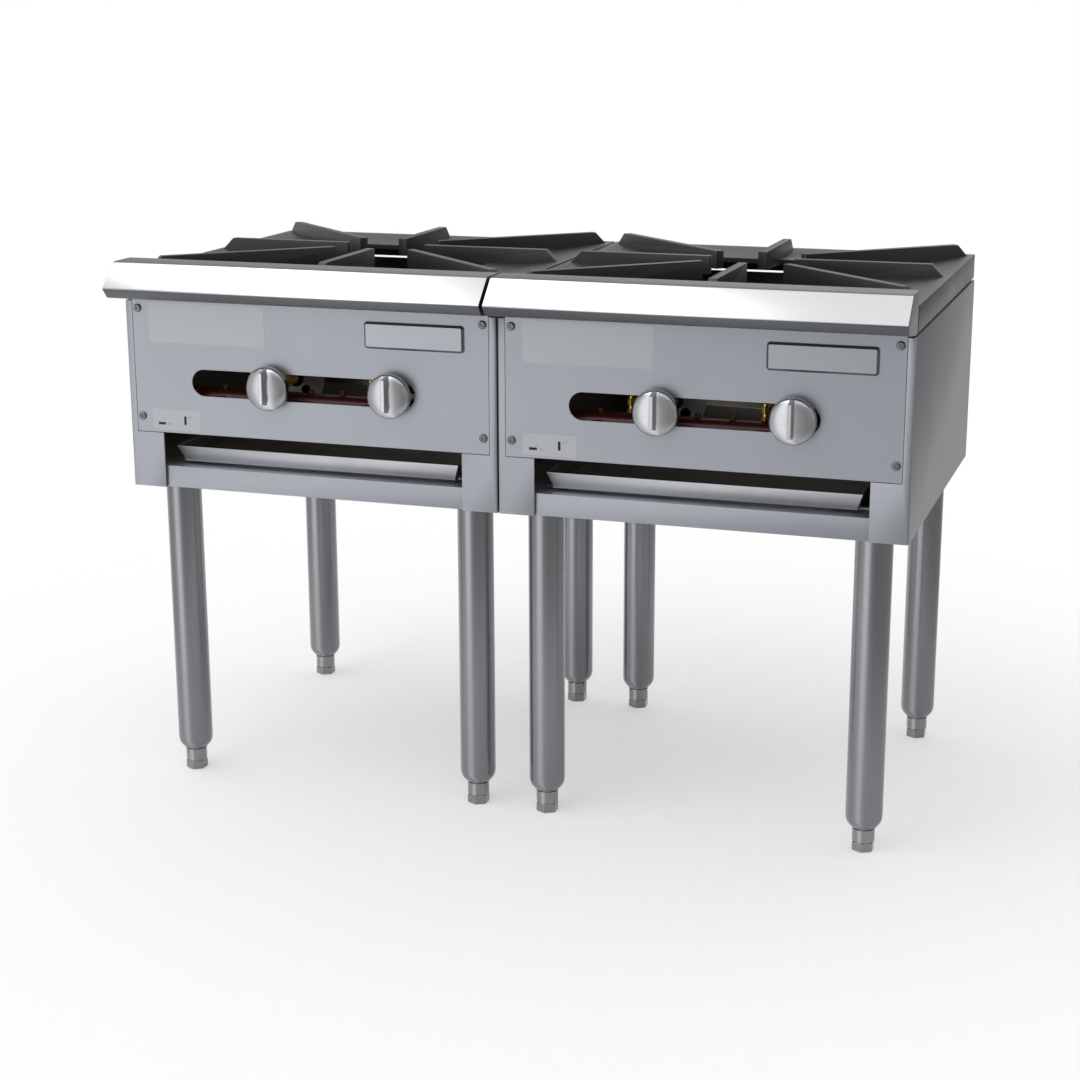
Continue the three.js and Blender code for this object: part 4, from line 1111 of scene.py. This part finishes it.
def throat(name, points, radius):
    """A cast throat: a round tube on a smooth line through the points."""
    curve = bpy.data.curves.new(name, "CURVE")
    curve.dimensions = "3D"
    spline = curve.splines.new("BEZIER")
    spline.bezier_points.add(len(points) - 1)
    for knot, point in zip(spline.bezier_points, points):
        knot.co = Vector(point) + Vector((LEFT_X, FRONT_Y, 0))
        knot.handle_left_type = knot.handle_right_type = "AUTO"
    spline.resolution_u = 8
    curve.bevel_depth = radius
    curve.bevel_resolution = 6
    curve.use_fill_caps = True
    piece = bpy.data.objects.new(name, curve)
    bpy.context.scene.collection.objects.link(piece)
    work_on(piece)
    bpy.ops.object.convert(target="MESH")
    bpy.ops.object.shade_smooth_by_angle(angle=math.radians(50))
    return bpy.context.object


def bell(x, mouth, neck):
    """The flared mouth that takes in air round the orifice hood."""
    rings = [
        (mouth - 0.0040, 0.0), (mouth - 0.0012, 0.0), (mouth, 0.0010), (mouth, 0.0040),
        (mouth * 0.78 + neck * 0.22, 0.0105), (neck * 1.05, 0.0225), (neck, 0.0300),
        (neck - 0.0030, 0.0300), (neck * 0.85, 0.0200), (mouth - 0.0040, 0.0045),
    ]
    return turned("bell", rings, "y", (LEFT_X + x, FRONT_Y + MOUTH_Y, VALVE_Z), closed=True)


def pair_of_bosses(middle_radius):
    """The two feet of a ring, on the burner support to the left and right of its middle."""
    bosses = []
    for side in (-1, 1):
        boss_x = LEFT_X + side * middle_radius
        boss = block("boss", (boss_x - 0.008, POT_Y - 0.008, 0.5323), (boss_x + 0.008, POT_Y + 0.008, 0.5430))
        round_edges(boss, 0.001)
        bosses.append(boss)
    return bosses


outer_x = VALVE_X["left"]
outer_middle = (OUTER_RING[0] + OUTER_RING[1]) / 2
outer_land = POT - math.sqrt(outer_middle**2 - outer_x**2)
outer_line = [
    (outer_x, 0.084, VALVE_Z), (outer_x, 0.090, VALVE_Z),
    (outer_x, (0.090 + outer_land) / 2, (VALVE_Z + RING_BOTTOM) / 2), (outer_x, outer_land, THROAT_END),
]
outer = joined(
    "left_outer_ring_burner",
    drilled_ring("outer_ring", *OUTER_RING),
    bell(outer_x, OUTER_MOUTH, 0.015),
    throat("outer_throat", outer_line, 0.0150),
    *pair_of_bosses(outer_middle),
)
on_both_ranges(outer, BURNER_IRON, "burner_iron", "outer_burner")

inner_x = VALVE_X["right"]
inner_middle = (INNER_RING[0] + INNER_RING[1]) / 2
inner_line = [
    (inner_x, 0.084, VALVE_Z), (inner_x - 0.006, 0.090, VALVE_Z), (inner_x / 2, 0.1463, 0.515),
    (0.0105, 0.1863, 0.528), (0.0, POT - inner_middle, THROAT_END),
]
inner = joined(
    "left_inner_ring_burner",
    drilled_ring("inner_ring", *INNER_RING),
    bell(inner_x, INNER_MOUTH, 0.013),
    throat("inner_throat", inner_line, 0.0130),
    *pair_of_bosses(inner_middle),
)
on_both_ranges(inner, BURNER_IRON, "burner_iron", "inner_burner")


# ---- Air shutters ----
# A plated disc covers each bell mouth. The orifice hood passes through its middle, and two ports on a
# slant across it set how much air the burner draws.

SHUTTER_ZINC = brushed("shutter_zinc", (0.42, 0.42, 0.42), 0.42, grain=(260, 260, 260), lines=0.3, marks=0.35)
SHUTTER_TURN = math.radians(45)  # from straight below the hole to the lower port
HOOD_HOLE = 0.011
AIR_PORT = 0.006
SHUTTERS = (("outer", outer_x, 0.037, OUTER_MOUTH), ("inner", inner_x, 0.030, INNER_MOUTH))
for kind, shutter_x, disc_radius, mouth in SHUTTERS:
    centre = (LEFT_X + shutter_x, FRONT_Y, VALVE_Z)
    disc = turned("disc", [(disc_radius, 0.0642), (disc_radius, 0.0657)], "y", centre)
    port_reach = (HOOD_HOLE + mouth - 0.004) / 2 + 0.001
    aside = port_reach * math.sin(SHUTTER_TURN)
    off = port_reach * math.cos(SHUTTER_TURN)
    for across, up, radius in ((0, 0, HOOD_HOLE), (-aside, off, AIR_PORT), (aside, -off, AIR_PORT)):
        place = (centre[0] + across, FRONT_Y, VALVE_Z + up)
        cut_out(disc, turned("hole", [(radius, 0.060), (radius, 0.070)], "y", place, sides=40))
    round_edges(disc, SHEET_EDGE)
    disc.name = f"left_{kind}_shutter_disc"
    on_both_ranges(disc, SHUTTER_ZINC, "zinc_plated", f"{kind}_air_shutter")


# ---- Burner supports ----
# A plated channel crosses each cabinet from side to side under the rings, with a turned-down tab at each
# end that is fixed to the side panel.

SUPPORT_ZINC = brushed("support_zinc", (0.27, 0.272, 0.278), 0.45, grain=(12, 700, 700), lines=0.2, marks=0.3)
for unit in ("left", "right"):
    support = folded_from(f"{unit}_burner_support", f"{unit}_support_channel")
    round_edges(support, 0.0005)
    dress(support, SUPPORT_ZINC)
    finish(support, "cabinets", "zinc_plated", f"{unit}_burner_support")


# ---- Pilot burners ----
# Each burner has a small brass pilot valve on the manifold. From the right-hand one a copper tube rises to
# a standing pilot in front of the outer ring.

COPPER = brushed("pilot_copper", (0.30, 0.095, 0.045), 0.40, grain=(300, 300, 300), lines=0.2, marks=0.4)
PILOT_HEX = 0.0048  # over the corners
PILOT_REACH = 0.038  # axis of a knob to the pilot valve on its left
CROWN = MANIFOLD_Z + PIPE + 0.0003  # seat of the pilot valves on the manifold
OUTLET_Z = CROWN + 0.0112
PILOT_Y = POT - OUTER_RING[1] - 0.0056  # from the control panel
HEAD_Z = RING_TOP - 0.007
HEAD_RINGS = [(0.0044, -0.0070), (0.0050, -0.0062), (0.0050, 0.0050), (0.0036, 0.0070)]
SCREW_RINGS = [(0.0028, 0.0155), (0.0028, 0.0192), (0.0021, 0.0199)]
PILOT_VALVE_X = {hand: valve_x - PILOT_REACH for hand, valve_x in VALVE_X.items()}

outlet_x = PILOT_VALVE_X["right"]
pilot_line = [
    (outlet_x, 0.030, OUTLET_Z), (outlet_x, 0.048, OUTLET_Z),
    (outlet_x - 0.0032, MOUTH_Y + 0.012, OUTLET_Z + 0.0032),
    (outlet_x / 2, (MOUTH_Y + PILOT_Y) / 2, (OUTLET_Z + HEAD_Z) / 2),
    (0.010, PILOT_Y - 0.005, HEAD_Z - 0.028), (0.0, PILOT_Y, HEAD_Z - 0.014), (0.0, PILOT_Y, HEAD_Z),
]
pilot_tube = throat("pilot_tube", pilot_line, 0.0032)
pilot_head = turned("pilot_head", HEAD_RINGS, "z", (LEFT_X, FRONT_Y + PILOT_Y, HEAD_Z), sides=36)
pilot = joined("left_standing_pilot", pilot_tube, pilot_head)
on_both_ranges(pilot, COPPER, "copper_tube", "pilot_burner")

for hand, pilot_x in PILOT_VALVE_X.items():
    seat = (LEFT_X + pilot_x, MANIFOLD_Y, CROWN)
    base = hexagon("base", PILOT_HEX, 0.0, 0.0052, "z", seat, 0.0005)
    waist = turned("waist", [(0.0033, 0.0050), (0.0033, 0.0090)], "z", seat, sides=28)
    bonnet = hexagon("bonnet", PILOT_HEX, 0.0085, 0.0160, "z", seat, 0.0005)
    screw_top = turned("screw_top", SCREW_RINGS, "z", seat, sides=28)
    pilot_valve = joined(f"left_{hand}_pilot_valve", base, waist, bonnet, screw_top)
    on_both_ranges(pilot_valve, BRASS, "brass")


# ---- Banking bolts ----
# Two plated bolts, one in front and one behind, clamp the inner side panels of the two ranges together
# just under their tops.

for end in ("front", "rear"):
    banking_bolt = folded_from(f"{end}_banking_bolt", f"{end}_clamping_bolt")
    round_edges(banking_bolt, 0.0005)
    dress(banking_bolt, SUPPORT_ZINC)
    finish(banking_bolt, "cabinets", "zinc_plated", f"{end}_banking_bolt")


# ---- Floor, lamp and studio ----
# The pair stands on a plain pale floor that fades into a white sweep. One large soft lamp hangs above and
# to the left, and the studio round it is bright in front on the left and grey on the right.

FLOOR_RADIUS = 2.0
FLOOR_COVER = 0.55  # how opaque the floor is round its middle
FADE_START = 0.45  # from the middle to where the floor begins to fade
FADE_END = 1.25
LAMP_PLACE = Vector((-1.3, -0.6, 2.6))
LAMP_TARGET = Vector((-0.8, -0.1, 0.0))
LAMP_WIDTH = 3.0
LAMP_DEPTH = 1.8
LAMP_WATTS = 23


def pale_floor():
    material, tree, shader = principled("pale_floor", 0.0, specular=0.2)
    shader.inputs["Roughness"].default_value = 0.8
    place = tree.nodes.new("ShaderNodeTexCoord").outputs["Object"]
    length = tree.nodes.new("ShaderNodeVectorMath")
    length.operation = "LENGTH"
    tree.links.new(place, length.inputs[0])
    grain = noise(tree, place, 40.0, detail=4.0)
    tone = tree.nodes.new("ShaderNodeMix")
    tone.data_type = "RGBA"
    tone.inputs["A"].default_value = (0.88, 0.88, 0.88, 1.0)
    tone.inputs["B"].default_value = (0.92, 0.92, 0.92, 1.0)
    tree.links.new(grain, tone.inputs["Factor"])
    tree.links.new(tone.outputs["Result"], shader.inputs["Base Color"])
    fade = tree.nodes.new("ShaderNodeMapRange")
    fade.interpolation_type = "SMOOTHSTEP"
    fade.inputs["From Min"].default_value = FADE_START
    fade.inputs["From Max"].default_value = FADE_END
    fade.inputs["To Min"].default_value = FLOOR_COVER
    fade.inputs["To Max"].default_value = 0.0
    tree.links.new(length.outputs["Value"], fade.inputs["Value"])
    tree.links.new(fade.outputs["Result"], shader.inputs["Alpha"])
    return material


pick_nothing()
bpy.ops.mesh.primitive_circle_add(vertices=96, radius=FLOOR_RADIUS, fill_type="NGON", location=(0, 0, 0))
floor = bpy.context.object
floor.name = "studio_floor"
floor.data.materials.append(pale_floor())

lamp_data = bpy.data.lights.new("overhead_lamp", "AREA")
lamp_data.shape = "RECTANGLE"
lamp_data.size = LAMP_WIDTH
lamp_data.size_y = LAMP_DEPTH
lamp_data.energy = LAMP_WATTS
lamp = bpy.data.objects.new("overhead_lamp", lamp_data)
bpy.context.scene.collection.objects.link(lamp)
lamp.location = LAMP_PLACE
lamp.rotation_euler = (LAMP_TARGET - LAMP_PLACE).to_track_quat("-Z", "Y").to_euler()

world = bpy.data.worlds.new("studio")
bpy.context.scene.world = world
world.use_nodes = True
sky = world.node_tree
direction = sky.nodes.new("ShaderNodeSeparateXYZ")
sky.links.new(sky.nodes.new("ShaderNodeTexCoord").outputs["Generated"], direction.inputs[0])
# Where a direction points round the horizon, in turns: 0 and 1 are the back, 0.5 is the front, and 0.75
# is the right.
forwards = math_node(sky, "MULTIPLY", direction.outputs["Y"], -1.0)
turns = math_node(sky, "ARCTAN2", direction.outputs["X"], forwards)
turns = math_node(sky, "ADD", math_node(sky, "MULTIPLY", turns, 1 / (2 * math.pi)), 0.5)


def grey(level):
    return (level, level, level, 1)


def light_ramp(stops):
    """Grey levels round the horizon, or up from it."""
    ramp = sky.nodes.new("ShaderNodeValToRGB")
    elements = ramp.color_ramp.elements
    while len(elements) > 1:
        elements.remove(elements[0])
    elements[0].position = stops[0][0]
    elements[0].color = grey(stops[0][1])
    for position, level in stops[1:]:
        elements.new(position).color = grey(level)
    return ramp


def rising(low, high):
    """0 below a height of the direction, and 1 above another."""
    ramp = sky.nodes.new("ShaderNodeMapRange")
    ramp.interpolation_type = "SMOOTHSTEP"
    ramp.inputs["From Min"].default_value = low
    ramp.inputs["From Max"].default_value = high
    sky.links.new(direction.outputs["Z"], ramp.inputs["Value"])
    return ramp.outputs["Result"]


def blend(factor, low, high):
    mix = sky.nodes.new("ShaderNodeMix")
    mix.data_type = "RGBA"
    sky.links.new(factor, mix.inputs["Factor"])
    sky.links.new(low, mix.inputs["A"])
    sky.links.new(high, mix.inputs["B"])
    return mix.outputs["Result"]


# Each stop is a place round the horizon, in turns, with the level there.
below = light_ramp([
    (0.0, 1.0), (0.13, 1.0), (0.25, 0.48), (0.35, 0.62), (0.395, 1.40), (0.440, 1.40),
    (0.49, 0.42), (0.56, 0.30), (0.80, 0.34), (0.92, 0.42), (0.975, 0.85), (1.0, 1.0),
])
above = light_ramp([
    (0.0, 1.05), (0.09, 0.52), (0.25, 0.50), (0.35, 0.62), (0.395, 1.40), (0.440, 1.40),
    (0.49, 0.42), (0.56, 0.32), (0.80, 0.50), (0.93, 0.55), (1.0, 1.05),
])
overhead = light_ramp([(0.0, 1.0), (0.45, 1.1), (1.0, 1.0)])
for ramp in (below, above, overhead):
    sky.links.new(turns, ramp.inputs["Fac"])
studio_light = blend(rising(0.0, 0.16), below.outputs["Color"], above.outputs["Color"])
studio_light = blend(rising(0.45, 0.85), studio_light, overhead.outputs["Color"])
sky.links.new(studio_light, sky.nodes["Background"].inputs["Color"])
